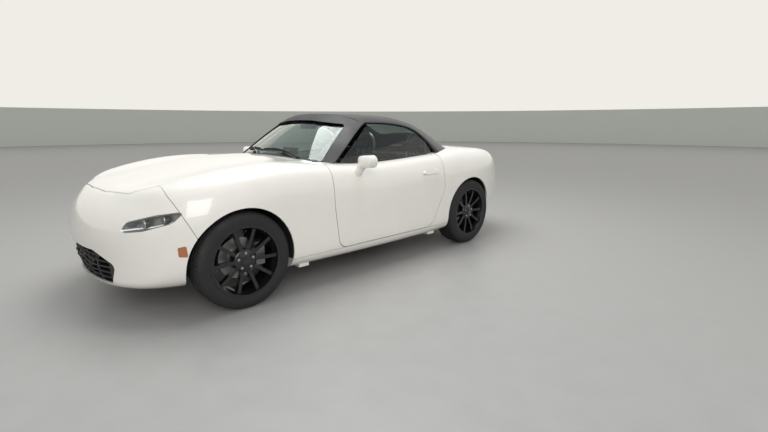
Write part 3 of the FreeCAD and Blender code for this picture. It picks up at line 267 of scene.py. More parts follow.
for corner, outward in WHEELS:
    node = "wheel_" + corner
    body = "road_wheel_" + corner
    centre = wheel_centre(corner)
    dress(node, wheel_grey, turned_iron)
    second_finish(node, lambda face: math.hypot(*(face.center - centre).yz) < DISC_RADIUS
                  and (face.center.x - centre.x) * outward < -0.002)
    nuts = []
    for k in range(NUTS):
        turn = 2 * math.pi * (k + 0.25) / NUTS
        spot = Vector((outward * NUT_SEAT, NUT_CIRCLE * math.cos(turn), NUT_CIRCLE * math.sin(turn)))
        nuts.append(round_bar(0.0095, 0.022, centre + spot, ALONG_X, 6, 0.0015))
    settle(joined(nuts), "wheel_nuts_" + corner, steel, body)
    cap = round_bar(0.027, 0.01, centre + Vector((outward * CAP_SEAT, 0, 0)), ALONG_X, 48, 0.003)
    settle(cap, "hub_cap_" + corner, gloss_black, body)
    stem = round_bar(0.004, 0.032, centre + Vector((outward * VALVE_SEAT, 0, VALVE_RADIUS)),
                     (0, math.radians(60) * outward, 0), 16, 0.001)
    settle(stem, "valve_" + corner, trim_black, body)

# Tyres: black rubber round a 17-inch rim, with four grooves round the tread, cross sipes cut in its
# shoulders and blocks, a rim-guard rib and fine rings on the sidewall. One is made and copied four times.
TYRE_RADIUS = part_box("tyre_front_left")[1].z / 2
SIDEWALL = [(-0.0915, 0.2168), (-0.097, 0.222), (-0.1, 0.228), (-0.0985, 0.231), (-0.1005, 0.236),
            (-0.1015, 0.25), (-0.1005, 0.266), (-0.0998, 0.2665), (-0.0995, 0.2685), (-0.0975, 0.276),
            (-0.094, 0.285), (-0.0905, 0.292), (-0.0855, 0.2985), (-0.079, 0.3025), (-0.071, 0.3052)]
CARCASS = [(0.08, 0.232), (0.082, 0.262), (0.076, 0.29)]
TREAD_HALF, CROWN_DROP = 0.071, 0.0022
SHOULDER, SHOULDER_END = 0.054, 0.08
GROOVES = (-0.050, -0.0185, 0.0185, 0.050)
GROOVE_HALF = 0.0045
GROOVE_DEPTH = 0.0065
SIPE_REACH = 0.296
PITCHES = 72
STATIONS = (0.0, 0.03, 0.10, 0.13, 0.56)
SKEW = 0.9
rubber = grained("tyre_rubber", "tyre_rubber", (0.014, 0.014, 0.0145), 0.72, 0.0015, 0.0001, 0.12)


def crown(x):
    """Tread radius at a distance from the middle of the tyre: a shallow dome that stands on the floor."""
    return TYRE_RADIUS - CROWN_DROP * (abs(x) / TREAD_HALF) ** 3


def tyre_profile():
    """The rubber's section as a ring of (along the axle, radius)."""
    tread = []
    for groove in GROOVES:
        for share, drop in ((-1, 0), (-0.7, GROOVE_DEPTH), (0.7, GROOVE_DEPTH), (1, 0)):
            x = groove + GROOVE_HALF * share
            tread.append((x, crown(x) - drop))
    far_wall = [(-x, radius) for x, radius in reversed(SIDEWALL)]
    return SIDEWALL + tread + far_wall + CARCASS + [(-x, radius) for x, radius in reversed(CARCASS)]


def sipe_depth(x, pitch):
    """Depth of the cross cut at x: in both shoulders, and in the middle ribs at every second pitch."""
    if abs(x) > SHOULDER:
        return 0.0055 if abs(x) < SHOULDER_END else 0.003
    if 0.022 < abs(x) < 0.046 and pitch % 2:
        return 0.004
    return 0.0


def new_tyre():
    """A tyre about the origin: its section spun round, and its stations gathered at the cross cuts."""
    profile = tyre_profile()
    steps = PITCHES * len(STATIONS)
    bpy.ops.mesh.primitive_circle_add(vertices=len(profile), radius=1, location=(0, 0, 0))
    made = started()
    for vertex, (along, radius) in zip(made.data.vertices, profile):
        vertex.co = (along, 0, radius)
    round_axle = {"steps": steps, "angle": 2 * math.pi, "center": (0, 0, 0), "axis": (1, 0, 0)}
    edited(made, (bpy.ops.mesh.spin, round_axle), (bpy.ops.mesh.remove_doubles, {"threshold": 0.00002}),
           (bpy.ops.mesh.normals_make_consistent, {"inside": False}))
    for vertex in made.data.vertices:
        x, y, z = vertex.co
        radius = math.hypot(y, z)
        station = round(math.atan2(-y, z) / (2 * math.pi / steps)) % steps
        pitch, slot = divmod(station, len(STATIONS))
        angle = 2 * math.pi * (pitch + STATIONS[slot]) / PITCHES + SKEW * abs(x)
        if slot in (1, 2) and radius > SIPE_REACH:
            radius -= sipe_depth(x, pitch)
        vertex.co = (x, -radius * math.sin(angle), radius * math.cos(angle))
    return made


first_tyre = new_tyre()
for corner, outward in WHEELS:
    alone(first_tyre)
    bpy.ops.object.duplicate()
    tyre = bpy.context.active_object
    tyre.location = wheel_centre(corner)
    tyre.rotation_euler.z = 0 if outward > 0 else math.pi
    settle(tyre, "road_tyre_" + corner, rubber, "road_wheel_" + corner, angle=30)
    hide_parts("tyre_" + corner)
bpy.data.objects.remove(first_tyre)

# Glazing: laminated screen with a green tint and a black printed border, and darker door and rear
# panes. The panes are the frame's. The border is a thin printed band inside the screen's edge.
# The screen's net has rows from its foot to its header: half-width, distance behind the nose, height.
SCREEN_ROWS = [[(0.640, 1.475, 0.836), (0.470, 1.365, 0.843), (0.240, 1.300, 0.849), (0, 1.281, 0.851)],
               [(0.608, 1.600, 0.932), (0.442, 1.500, 0.955), (0.222, 1.443, 0.966), (0, 1.427, 0.969)],
               [(0.566, 1.745, 1.048), (0.408, 1.665, 1.078), (0.207, 1.620, 1.091), (0, 1.606, 1.094)],
               [(0.520, 1.900, 1.150), (0.378, 1.842, 1.178), (0.192, 1.810, 1.190), (0, 1.800, 1.193)]]
SCREEN_THICKNESS = 0.005
BAND_COLUMNS, BAND_LINES = 60, 40
CLEAR_COLUMNS, CLEAR_LINES = range(3, 57), range(7, 38)


def pane_finish(name, slot, tint):
    """Glass that lets most of the daylight through to the cabin, as thin panes do."""
    material = finish_of(name, slot, tint, 0.02, Transmission_Weight=1.0, IOR=1.45)
    tree = material.node_tree
    shadow = shader_node(tree, "LightPath").outputs["Is Shadow Ray"]
    clear = shader_node(tree, "MapRange", {"Value": shadow, "To Min": 1.0, "To Max": 0.35}).outputs[0]
    tree.links.new(clear, tree.nodes["Principled BSDF"].inputs["Alpha"])
    return material


def full_width(rows):
    """Rows from the left edge to the centreline, carried on to the right edge."""
    left = [[at(*point) for point in row] for row in rows]
    return [row + [Vector((-p.x, p.y, p.z)) for p in reversed(row[:-1])] for row in left]


def spline_shares(count, t):
    """How much each of count control points counts at t, from 0 to 1, along a clamped cubic spline."""
    spans = count - 3
    knots = [0.0] * 3 + [k / spans for k in range(spans + 1)] + [1.0] * 3
    t = min(t, 1 - 1e-9)
    shares = [1.0 if low <= t < high else 0.0 for low, high in zip(knots, knots[1:])]
    for degree in (1, 2, 3):
        longer = []
        for i in range(len(shares) - 1):
            rise, fall = knots[i + degree] - knots[i], knots[i + degree + 1] - knots[i + 1]
            up = shares[i] * (t - knots[i]) / rise if rise else 0.0
            down = shares[i + 1] * (knots[i + degree + 1] - t) / fall if fall else 0.0
            longer.append(up + down)
        shares = longer
    return shares


def net_point(rows, along, across):
    """A point on the surface that the rows control."""
    point = Vector((0, 0, 0))
    for row_share, row in zip(spline_shares(len(rows), along), rows):
        if row_share:
            for share, corner in zip(spline_shares(len(row), across), row):
                point += corner * (row_share * share)
    return point


def net_sheet(rows, columns, lines, lift=0.0, low=(0.0, 0.0), high=(1.0, 1.0)):
    """A grid primitive laid on the surface of the rows, lifted off it along its normal."""
    bpy.ops.mesh.primitive_grid_add(x_subdivisions=columns, y_subdivisions=lines, size=1)
    made = started()
    step = 0.002
    for vertex in made.data.vertices:
        across = low[1] + (high[1] - low[1]) * (vertex.co.x + 0.5)
        along = low[0] + (high[0] - low[0]) * (vertex.co.y + 0.5)
        a, b = min(along, 1 - step), min(across, 1 - step)
        point = net_point(rows, along, across)
        base = net_point(rows, a, b)
        slope = (net_point(rows, a + step, b) - base).cross(net_point(rows, a, b + step) - base).normalized()
        vertex.co = point - slope * lift if slope.z < 0 else point + slope * lift
    return made


def faces_gone(piece, test):
    """Deletes the faces that pass the test."""
    alone(piece)
    bpy.ops.object.mode_set(mode="EDIT")
    bpy.ops.mesh.select_mode(type="FACE")
    bpy.ops.mesh.select_all(action="DESELECT")
    bpy.ops.object.mode_set(mode="OBJECT")
    for face in piece.data.polygons:
        face.select = test(face)
    bpy.ops.object.mode_set(mode="EDIT")
    bpy.ops.mesh.delete(type="FACE")
    bpy.ops.object.mode_set(mode="OBJECT")


screen_glass = pane_finish("green_tinted_glass", "clear_glass", (0.74, 0.86, 0.79))
dark_glass = pane_finish("dark_tinted_glass", "clear_glass", (0.50, 0.57, 0.54))
printed_black = grained("printed_black", "black_plastic", (0.006, 0.006, 0.006), 0.4, 0.001, 0.00001, 0.02)
dress("windscreen", screen_glass)
dress("door_glass_left door_glass_right rear_window", dark_glass)
screen_rows = full_width(SCREEN_ROWS)
band = net_sheet(screen_rows, BAND_COLUMNS, BAND_LINES, lift=-SCREEN_THICKNESS - 0.0006)
faces_gone(band, lambda face: face.index % BAND_COLUMNS in CLEAR_COLUMNS
           and face.index // BAND_COLUMNS in CLEAR_LINES)
shape_up(band, "SOLIDIFY", thickness=0.0004, offset=0)
settle(band, "screen_border", printed_black)

# Soft top: three panels of black cloth sewn edge to edge, drawn tight over four bows from the header
# to the rear deck. One continuous sheet: it dips a little between bows, and seams, hems and a bonded
# rear pane lie on it.
TOP_ROWS = [
    [(0.541, 1.914, 1.140), (0.492, 1.886, 1.166), (0.375, 1.848, 1.184), (0.190, 1.816, 1.195),
     (0, 1.806, 1.198)],
    [(0.572, 2.045, 1.144), (0.515, 2.035, 1.186), (0.395, 2.025, 1.208), (0.200, 2.020, 1.219),
     (0, 2.018, 1.222)],
    [(0.585, 2.300, 1.134), (0.520, 2.290, 1.180), (0.400, 2.285, 1.208), (0.205, 2.280, 1.224),
     (0, 2.278, 1.228)],
    [(0.605, 2.500, 1.084), (0.530, 2.525, 1.142), (0.402, 2.545, 1.176), (0.205, 2.555, 1.196),
     (0, 2.558, 1.201)],
    [(0.652, 2.608, 0.985), (0.555, 2.725, 1.048), (0.402, 2.788, 1.100), (0.205, 2.812, 1.122),
     (0, 2.818, 1.128)],
    [(0.694, 2.660, 0.910), (0.596, 2.862, 0.955), (0.412, 3.000, 0.992), (0.207, 3.042, 1.012),
     (0, 3.052, 1.018)],
    [(0.716, 2.690, 0.860), (0.640, 2.975, 0.880), (0.430, 3.160, 0.890), (0.215, 3.226, 0.893),
     (0, 3.240, 0.894)]]
BOWS = (1.83, 2.07, 2.36, 2.62)
BOW_HALF, BOW_DIP, RIPPLE = 0.56, 0.0045, 0.0016
CLOTH_THICKNESS = 0.0035
CLOTH_SEAMS = (0.235, 0.765)
SEAM_HALF = 0.006
HEM_WIDTH = 0.014
PANE_CORNERS = ((0.300, 2.700), (0.352, 2.960), (0.240, 2.998))


def weave_effect():
    """Twill cloth on a piece's own UV map: two crossed rows of threads, slubs, and a little fade."""
    group, given, result = new_effect("woven_threads", {
        "Colour": (0.02, 0.02, 0.02, 1), "Roughness": 0.9, "Threads": 400.0, "Depth": 0.0002, "Fade": 0.2})
    place = shader_node(group, "TexCoord").outputs
    warp, weft = [shader_node(group, "TexWave", {"Vector": place["UV"], "Scale": given["Threads"],
                                                 "Distortion": 0.4, "Detail": 1.0},
                              wave_type="BANDS", bands_direction=way).outputs["Fac"] for way in ("X", "Y")]
    crossed = worked_out(group, "MULTIPLY", warp, weft)
    amount = worked_out(group, "MULTIPLY", clouds(group, place["Object"], 3.0, 5.0, 0.5), given["Fade"])
    threads = shader_node(group, "MapRange", {"Value": crossed, "To Min": 0.75, "To Max": 1.2}).outputs[0]
    return give_out(group, result, given["Colour"], worked_out(group, "ADD", amount, threads),
                    given["Roughness"], {"Height": crossed, "Strength": 0.8, "Distance": given["Depth"]})


WEAVE = weave_effect()


def woven(name, slot, colour, roughness, threads, depth, fade, **plain):
    """A woven finish with threads to the width of its UV map, their depth, and how far it has faded."""
    return finish_of(name, slot, colour, roughness, WEAVE,
                     {"Threads": threads, "Depth": depth, "Fade": fade}, **plain)


def draped(sheet):
    """Lets a sheet of the top dip between the bows, and ripple behind the last one, as the cloth does."""
    for vertex in sheet.data.vertices:
        point = vertex.co
        behind = point.y - NOSE_Y
        side = max(0.0, 1 - (abs(point.x) / BOW_HALF) ** 4)
        dip = 0.0
        for front, rear in zip(BOWS, BOWS[1:]):
            if front < behind < rear:
                dip = BOW_DIP * math.sin(math.pi * (behind - front) / (rear - front)) ** 2
        ripple = 0.0
        if behind > BOWS[-1]:
            fold = noise.noise(Vector((point.x * 9, behind * 3, 0.5)))
            ripple = RIPPLE * fold * min(1.0, (behind - BOWS[-1]) * 6)
        vertex.co.z -= dip * side - ripple
    return sheet


def thickened(sheet, thickness, offset):
    return shape_up(sheet, "SOLIDIFY", thickness=thickness, offset=offset)


def slab(outline, corner, segments, growth):
    """A plate over an outline, its corners rounded, that grows by a vector into a block."""
    bpy.ops.mesh.primitive_circle_add(vertices=len(outline), radius=1, fill_type="NGON", location=(0, 0, 0))
    made = started()
    for vertex, place in zip(made.data.vertices, outline):
        vertex.co = place
    return edited(made, (bpy.ops.mesh.bevel, {"offset": corner, "segments": segments, "affect": "VERTICES"}),
                  (bpy.ops.mesh.extrude_region_move, {"TRANSFORM_OT_translate": {"value": growth}}),
                  (bpy.ops.mesh.normals_make_consistent, {"inside": False}))


def pane_block(margin, low, high, corner):
    """An upright block over the rear pane's outline, wider than it by a margin."""
    (front_x, front), (side_x, side), (rear_x, rear) = PANE_CORNERS
    half = [(front_x + margin, front - margin), (side_x + margin, side), (rear_x + margin, rear + margin)]
    outline = half + [(-x, behind) for x, behind in reversed(half)]
    return slab([at(x, behind, low) for x, behind in outline], corner, 8, (0, 0, high - low))


def cut(piece, cutter, operation="DIFFERENCE"):
    """Cuts one closed mesh by another and throws the cutter away."""
    shape_up(piece, "BOOLEAN", object=cutter, operation=operation, solver="EXACT")
    bpy.data.objects.remove(cutter)


top_cloth = woven("black_top_cloth", "top_cloth", (0.012, 0.012, 0.0125), 0.85, 260.0, 0.00025, 0.25,
                  Sheen_Weight=0.25, Sheen_Roughness=0.5)
lining_cloth = woven("charcoal_lining", "top_cloth", (0.035, 0.035, 0.036), 0.9, 200.0, 0.0002, 0.1)
cloth_binding = grained("top_binding", "top_cloth", (0.010, 0.010, 0.010), 0.6, 0.0015, 0.0001, 0.1)
rubber_seal = grained("seal_rubber", "black_plastic", (0.012, 0.012, 0.012), 0.5, 0.003, 0.00005, 0.08)
top_rows = full_width(TOP_ROWS)
top = thickened(draped(net_sheet(top_rows, 120, 96)), CLOTH_THICKNESS, -1)
cut(top, pane_block(-0.004, 0.9, 1.2, 0.045))
settle(top, "soft_top_cloth", top_cloth, angle=60)
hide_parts("soft_top")

lining = thickened(draped(net_sheet(top_rows, 60, 48, lift=-0.0105)), 0.0015, 0)
cut(lining, pane_block(-0.002, 0.9, 1.2, 0.045))
settle(lining, "soft_top_lining", lining_cloth, angle=60)

for number, seam in enumerate(CLOTH_SEAMS, 1):
    lap = draped(net_sheet(top_rows, 4, 96, 0.0009, (0.012, seam - SEAM_HALF), (0.985, seam + SEAM_HALF)))
    settle(thickened(lap, 0.0014, -1), "top_seam_%d" % number, top_cloth, angle=60)

hems = [net_sheet(top_rows, 3, 96, 0.0012, (0, 0), (1, HEM_WIDTH)),
        net_sheet(top_rows, 3, 96, 0.0012, (0, 1 - HEM_WIDTH), (1, 1)),
        net_sheet(top_rows, 90, 3, 0.0012, (0, HEM_WIDTH), (0.016, 1 - HEM_WIDTH))]
settle(joined([thickened(draped(hem), 0.004, -1) for hem in hems]), "top_hem", cloth_binding, angle=60)

ring = pane_block(0.012, 0.95, 1.15, 0.055)
cut(ring, pane_block(-0.006, 0.9, 1.2, 0.043))
surround = thickened(net_sheet(top_rows, 60, 60, 0.0012, (0.6, 0.15), (1, 0.85)), 0.0055, -1)
cut(surround, ring, "INTERSECT")
settle(surround, "rear_window_surround", rubber_seal, angle=60)

# Headlamps: a clear moulded cover over a satin bezel, with two projector lenses in rings and a light
# guide along the lower edge. Cover and housing are the frame's, and the rest sits on the housing.
FORWARD = Vector((0, -1, 0))
REARWARD = Vector((0, 1, 0))
DOWNWARD = Vector((0, 0, -1))
INWARD = Vector((-1, 0, 0))
PROJECTORS = ((0.610, 0.582, 0.025), (0.684, 0.602, 0.023))
GUIDE_LINE = ((0.548, 0.548), (0.575, 0.552), (0.610, 0.556), (0.648, 0.563), (0.690, 0.578), (0.725, 0.593),
              (0.752, 0.612), (0.764, 0.636))
lamp_cover = pane_finish("clear_lamp_cover", "clear_glass", (0.95, 0.96, 0.96))
bezel = grained("satin_lamp_bezel", "lamp_unit", (0.20, 0.205, 0.21), 0.32, 0.002, 0.00004, 0.06,
                Metallic=0.85)
bright = grained("bright_reflector", "lamp_unit", (0.75, 0.76, 0.77), 0.12, 0.004, 0.00002, 0.03,
                 Metallic=1.0)
guide_white = grained("light_guide", "lamp_unit", (0.86, 0.88, 0.90), 0.2, 0.002, 0.00003, 0.03,
                      Emission_Strength=0.25, Emission_Color=(0.9, 0.95, 1.0, 1.0))
projector_glass = grained("projector_glass", "lamp_unit", (0.10, 0.11, 0.13), 0.03, 0.01, 0.00001, 0.02,
                          Coat_Weight=1.0, IOR=1.6)
dress("headlamp_lenses", lamp_cover)
dress("headlamp_units", bezel)


def spot_on(node, origin, direction):
    """Where a line from origin meets a frame node, and which way its surface faces there."""
    hit, place, normal, _ = nodes[node].ray_cast(origin, direction)
    if not hit:
        raise ValueError("no point of %s lies that way" % node)
    return place, (normal if normal.dot(direction) < 0 else -normal)


def facing(normal):
    """The turn that points a primitive's Z axis along a surface's normal."""
    return normal.to_track_quat("Z", "Y").to_euler()


def tube(points, radius, closed=False, sides=4):
    """A smooth round strip along points; a short line gets points between, as a path has five or more."""
    while len(points) < 5:
        between = [(a + b) / 2 for a, b in zip(points, points[1:])]
        points = [p for pair in zip(points, between) for p in pair] + points[-1:]
    bpy.ops.curve.primitive_nurbs_path_add(location=(0, 0, 0))
    made = started()
    line = made.data.splines[0]
    line.points.add(len(points) - len(line.points))
    for point, place in zip(line.points, points):
        point.co = (*place, 1.0)
    line.order_u = 3
    line.use_endpoint_u = not closed
    line.use_cyclic_u = closed
    line.resolution_u = 6
    made.data.bevel_depth = radius
    made.data.bevel_resolution = sides
    made.data.use_fill_caps = True
    bpy.ops.object.convert(target="MESH")
    return made


def hoop(radius, wire, place, turn=(0, 0, 0), segments=(48, 12)):
    """A round ring of round wire."""
    bpy.ops.mesh.primitive_torus_add(major_radius=radius, minor_radius=wire, major_segments=segments[0],
                                     minor_segments=segments[1], location=place, rotation=turn)
    return started()


def ball(radius, place, turn, squash, segments=48):
    """A ball squashed by a scale."""
    bpy.ops.mesh.primitive_uv_sphere_add(segments=segments, ring_count=segments // 2, radius=radius,
                                         location=place, rotation=turn)
    return started(squash)


def lamp_side(side, outward):
    """Everything inside one headlamp: two projectors on barrels in the bowl, and the guide along its foot."""
    ahead = facing(FORWARD)
    for number, (x, z, radius) in enumerate(PROJECTORS, 1):
        place, _ = spot_on("headlamp_units", at(x * outward, -0.2, z), REARWARD)
        front = place + FORWARD * 0.030
        tail = "_%s_%d" % (side, number)
        barrel = round_bar(radius + 0.003, 0.034, place + FORWARD * 0.014, ahead, 48, 0.002)
        settle(barrel, "projector_barrel" + tail, gloss_black)
        settle(ball(radius, front, ahead, (1, 1, 0.42)), "projector" + tail, projector_glass)
        settle(hoop(radius + 0.003, 0.0035, front, ahead), "projector_ring" + tail, bright)
    line = []
    for x, z in GUIDE_LINE:
        place, _ = spot_on("headlamp_units", at(x * outward, -0.2, z), REARWARD)
        line.append(place + FORWARD * 0.012)
    settle(tube(line, 0.0045), "light_guide_" + side, guide_white)


for side, outward in SIDES:
    lamp_side(side, outward)

# Tail lamps and side markers: red moulded covers with two round light rings each, and amber covers low
# on the front wings. The covers are the frame's, and the rings are laid on them.
TAIL_X, TAIL_Z, RING_POINTS = 0.556, 0.704, 32
red_plastic = grained("red_lamp_plastic", "tail_lens", (0.30, 0.006, 0.006), 0.12, 0.003, 0.00003, 0.08,
                      Coat_Weight=1.0)
deep_red = grained("red_light_ring", "tail_lens", (0.62, 0.03, 0.02), 0.2, 0.002, 0.00005, 0.05,
                   Coat_Weight=0.8, Emission_Strength=0.08, Emission_Color=(1.0, 0.05, 0.03, 1.0))
amber = grained("amber_lamp_plastic", "tail_lens", (0.42, 0.13, 0.04), 0.18, 0.002, 0.00005, 0.08,
                Coat_Weight=1.0)
dress("tail_lamps", red_plastic)
dress("side_markers", amber)
for side, outward in SIDES:
    for name, radius in (("ring", 0.040), ("core", 0.022)):
        points = []
        for k in range(RING_POINTS):
            turn = 2 * math.pi * k / RING_POINTS
            origin = at(TAIL_X * outward + radius * math.cos(turn), 4.5, TAIL_Z + radius * math.sin(turn))
            points.append(spot_on("tail_lamps", origin, FORWARD)[0])
        settle(tube(points, 0.0022, closed=True), "tail_%s_%s" % (name, side), deep_red)

# Outer trim: mirror glasses, seals along the door glass, two wipers parked on the screen's foot, a blank
# rear plate, a high brake lamp, reflectors, the plug over the towing eye, and a bright exhaust tip.
MIRROR_OUTLINE = ((0.822, 0.836), (0.822, 0.892), (0.918, 0.906), (0.950, 0.878), (0.936, 0.832))
MIRROR_BEHIND, PLATE_BEHIND = 1.7235, 3.8865
SEAL_Z, SEAL_FRONT, SEAL_PITCH = 0.892, 1.66, 0.076
mirror_silver = grained("mirror_silver", "clear_glass", (0.82, 0.84, 0.85), 0.03, 0.05, 0.00001, 0.01,
                        Metallic=1.0)
plate_white = grained("blank_plate", "body_paint", (0.75, 0.75, 0.73), 0.3, 0.002, 0.00003, 0.03,
                      Coat_Weight=0.4)
dress("grille", trim_black)
dress("tow_socket", steel)


def upward(height):
    return Vector((0, 0, height))


def leant(degrees):
    """A turn about the line across the car."""
    return (math.radians(degrees), 0, 0)


def rounded_box(size, place, corner, turn=(0, 0, 0), segments=3):
    """A block of a given size with all its edges rounded."""
    bpy.ops.mesh.primitive_cube_add(size=1, location=place, rotation=turn)
    made = started(size)
    bpy.ops.object.transform_apply(location=False, rotation=False, scale=True)
    return shape_up(made, "BEVEL", width=corner, segments=segments, limit_method="NONE")


def upright_plate(outline, behind, thickness, corner):
    """A plate across the car, over an outline of (x, z), its corners rounded; it grows rearwards."""
    return slab([at(x, behind, z) for x, z in outline], corner, 6, (0, thickness, 0))


def below(node, x, behind, height=1.2):
    """Where a plumb line meets a node's top."""
    return spot_on(node, at(x, behind, height), DOWNWARD)[0]


for side, outward in SIDES:
    body = "door_" + side
    glass = upright_plate([(x * outward, z) for x, z in MIRROR_OUTLINE], MIRROR_BEHIND, 0.0025, 0.022)
    settle(glass, "mirror_glass_" + side, mirror_silver, body)
    for name, inside in (("outer", 0.006), ("inner", -0.009)):
        line = []
        for k in range(13):
            origin = at(1.2 * outward, SEAL_FRONT + k * SEAL_PITCH, SEAL_Z)
            pane, _ = spot_on("door_glass_" + side, origin, INWARD * outward)
            sill, _ = spot_on(body, pane + Vector((inside * outward, 0, 0.04)), DOWNWARD)
            line.append(sill + upward(0.003))
        settle(tube(line, 0.005), "belt_seal_%s_%s" % (name, side), rubber_seal, body)


def screen_spot(across, along, lift):
    """A point held off the screen's outer face."""
    step = 0.004
    base = net_point(screen_rows, along, across)
    right = net_point(screen_rows, along, across + step) - base
    up = net_point(screen_rows, along + step, across) - base
    outside = right.cross(up).normalized()
    return base + (outside if outside.y < 0 else -outside) * lift


WIPERS = (("driver", (0.44, 1.385), 0.20, 0.56), ("passenger", (-0.10, 1.325), 0.56, 0.86))
BLADE_STEPS, BLADE_ALONG, BLADE_BOW, BLADE_LIFT = 8, 0.20, 0.012, 0.010
for name, pivot, first, last in WIPERS:
    foot = below("cowl_panel", *pivot, 1.4)
    blade = []
    for k in range(BLADE_STEPS + 1):
        share = k / BLADE_STEPS
        blade.append(screen_spot(first + (last - first) * share,
                                 BLADE_ALONG + BLADE_BOW * math.sin(math.pi * share), BLADE_LIFT))
    edge = tube(blade, 0.0055)
    spine = tube([point + Vector((0, -0.004, 0.009)) for point in blade[1:-1]], 0.004)
    hinge = blade[BLADE_STEPS // 2] + Vector((0, -0.004, 0.014))
    arm = tube([foot + upward(0.012), foot.lerp(hinge, 0.4) + Vector((0, -0.004, 0.022)), hinge], 0.0065)
    cap = round_bar(0.014, 0.02, foot + upward(0.008), bevel=0.004)
    settle(joined([edge, spine, arm, cap]), "wiper_" + name, trim_black)

plate_outline = [(-0.257, 0.494), (-0.257, 0.602), (0.257, 0.602), (0.257, 0.494)]
settle(upright_plate(plate_outline, PLATE_BEHIND, 0.0015, 0.01), "rear_plate", plate_white)
stop = rounded_box((0.30, 0.016, 0.010), below("boot_lid", 0, 3.325, 1.4) + upward(0.003), 0.004)
settle(stop, "high_brake_lamp", red_plastic, "boot_lid")
for side, outward in SIDES:
    place, normal = spot_on("rear_bumper", at(0.60 * outward, 4.5, 0.385), FORWARD)
    glow = rounded_box((0.110, 0.030, 0.008), place, 0.0035, facing(normal))
    settle(glow, "rear_reflector_" + side, red_plastic)

EYE_X, EYE_Z = -0.430, 0.402
PLUG_RADIUS, PROBE_RADIUS, PROBES = 0.0312, 0.037, 12
skin = []
for k in range(PROBES):
    c, s = math.cos(2 * math.pi * k / PROBES), math.sin(2 * math.pi * k / PROBES)
    place, _ = spot_on("front_bumper", at(EYE_X + PROBE_RADIUS * c, -0.3, EYE_Z + PROBE_RADIUS * s), REARWARD)
    skin.append((c, s, place.y))
middle_y = sum(y for _, _, y in skin) / PROBES
lean_x = sum(c * y for c, _, y in skin) * 2 / PROBES
lean_z = sum(s * y for _, s, y in skin) * 2 / PROBES
bpy.ops.mesh.primitive_circle_add(vertices=64, radius=1, fill_type="NGON", location=(0, 0, 0))
plug = started()
for vertex in plug.data.vertices:
    c, s, _ = vertex.co
    vertex.co = (EYE_X + PLUG_RADIUS * c, middle_y + (lean_x * c + lean_z * s) * PLUG_RADIUS / PROBE_RADIUS,
                 EYE_Z + PLUG_RADIUS * s)
thickened(plug, 0.003, 0)
shape_up(plug, "BEVEL", width=0.0008, segments=2, limit_method="ANGLE", angle_limit=SHARP)
settle(plug, "towing_eye_cover", paint)

tip_root, tip_end = at(-0.430, 3.600, 0.258), at(-0.430, 3.885, 0.246)
tip_way = (tip_end - tip_root).normalized()
tip_turn = facing(tip_way)
lip = hoop(0.0325, 0.0035, tip_end - tip_way * 0.004, tip_turn, (64, 16))
sleeve = round_bar(0.0345, 0.10, tip_end - tip_way * 0.055, tip_turn, 64)
settle(joined([lip, sleeve]), "exhaust_tip", bright)
bore = round_bar(0.029, 0.004, tip_end - tip_way * 0.001, tip_turn, 48)
settle(bore, "exhaust_bore", underseal)

# Seats: black leather over moulded foam. Each cushion, backrest and head restraint is one pad that is
# blown up as stuffed cloth, then pulled in along its sewn channels, on a plastic base with steel rails.
# A pad's centre line is given as shares of its length, with the place behind the nose and the height.
SEAT_X = 0.365
SQUAB_LINE = [(0.0, 2.040, 0.330), (0.12, 2.080, 0.352), (0.3, 2.160, 0.349), (0.7, 2.330, 0.312),
              (1.0, 2.462, 0.292)]
BACK_LINE = [(0.0, 2.470, 0.290), (0.3, 2.545, 0.455), (0.55, 2.592, 0.590), (0.85, 2.640, 0.765),
             (1.0, 2.662, 0.838)]
HEAD_LINE = [(0.0, 2.682, 0.878), (0.5, 2.680, 0.925), (1.0, 2.692, 0.968)]
PRESSURE, SWELL_STEPS = 4.0, 20
SEAM_WIDTH, CHANNEL, BOLSTER_CHANNEL = 0.005, 0.004, 0.006
leather = grained("black_leather", "seat_trim", (0.020, 0.020, 0.021), 0.48, 0.0022, 0.00022, 0.12,
                  Coat_Weight=0.1)


def on_line(line, share):
    """Place behind the nose and height at a share of the way along a seat's centre line."""
    for (s0, d0, z0), (s1, d1, z1) in zip(line, line[1:]):
        if share <= s1:
            t = (share - s0) / (s1 - s0)
            return d0 + (d1 - d0) * t, z0 + (z1 - z0) * t
    return line[-1][1:]


def pad(line, width, taper, wings, depth, cells):
    """A pad over a centre line: it tapers, its sides stand up as wings, and it closes at its depth."""
    bpy.ops.mesh.primitive_grid_add(x_subdivisions=cells[0], y_subdivisions=cells[1], size=1)
    made = started()
    for vertex in made.data.vertices:
        across, share = vertex.co.x * 2, vertex.co.y + 0.5
        behind, height = on_line(line, share)
        ahead, higher = on_line(line, min(1.0, share + 0.02))
        back, lower = on_line(line, max(0.0, share - 0.02))
        along = Vector((0, ahead - back, higher - lower)).normalized()
        out = Vector((1, 0, 0)).cross(along)
        corner = max(0.0, share - 0.8) / 0.2 + max(0.0, 0.14 - share) / 0.14 * 0.6
        half = width / 2 * (1 - taper * share) * (1 - 0.10 * corner ** 2)
        lift = wings * max(0.0, (abs(across) - 0.52) / 0.48) ** 1.3 * (1 - 0.4 * share)
        vertex.co = at(SEAT_X + half * across, behind, height) + out * lift
    return shape_up(thickened(made, depth, -1), "REMESH", mode="VOXEL", voxel_size=0.0075)


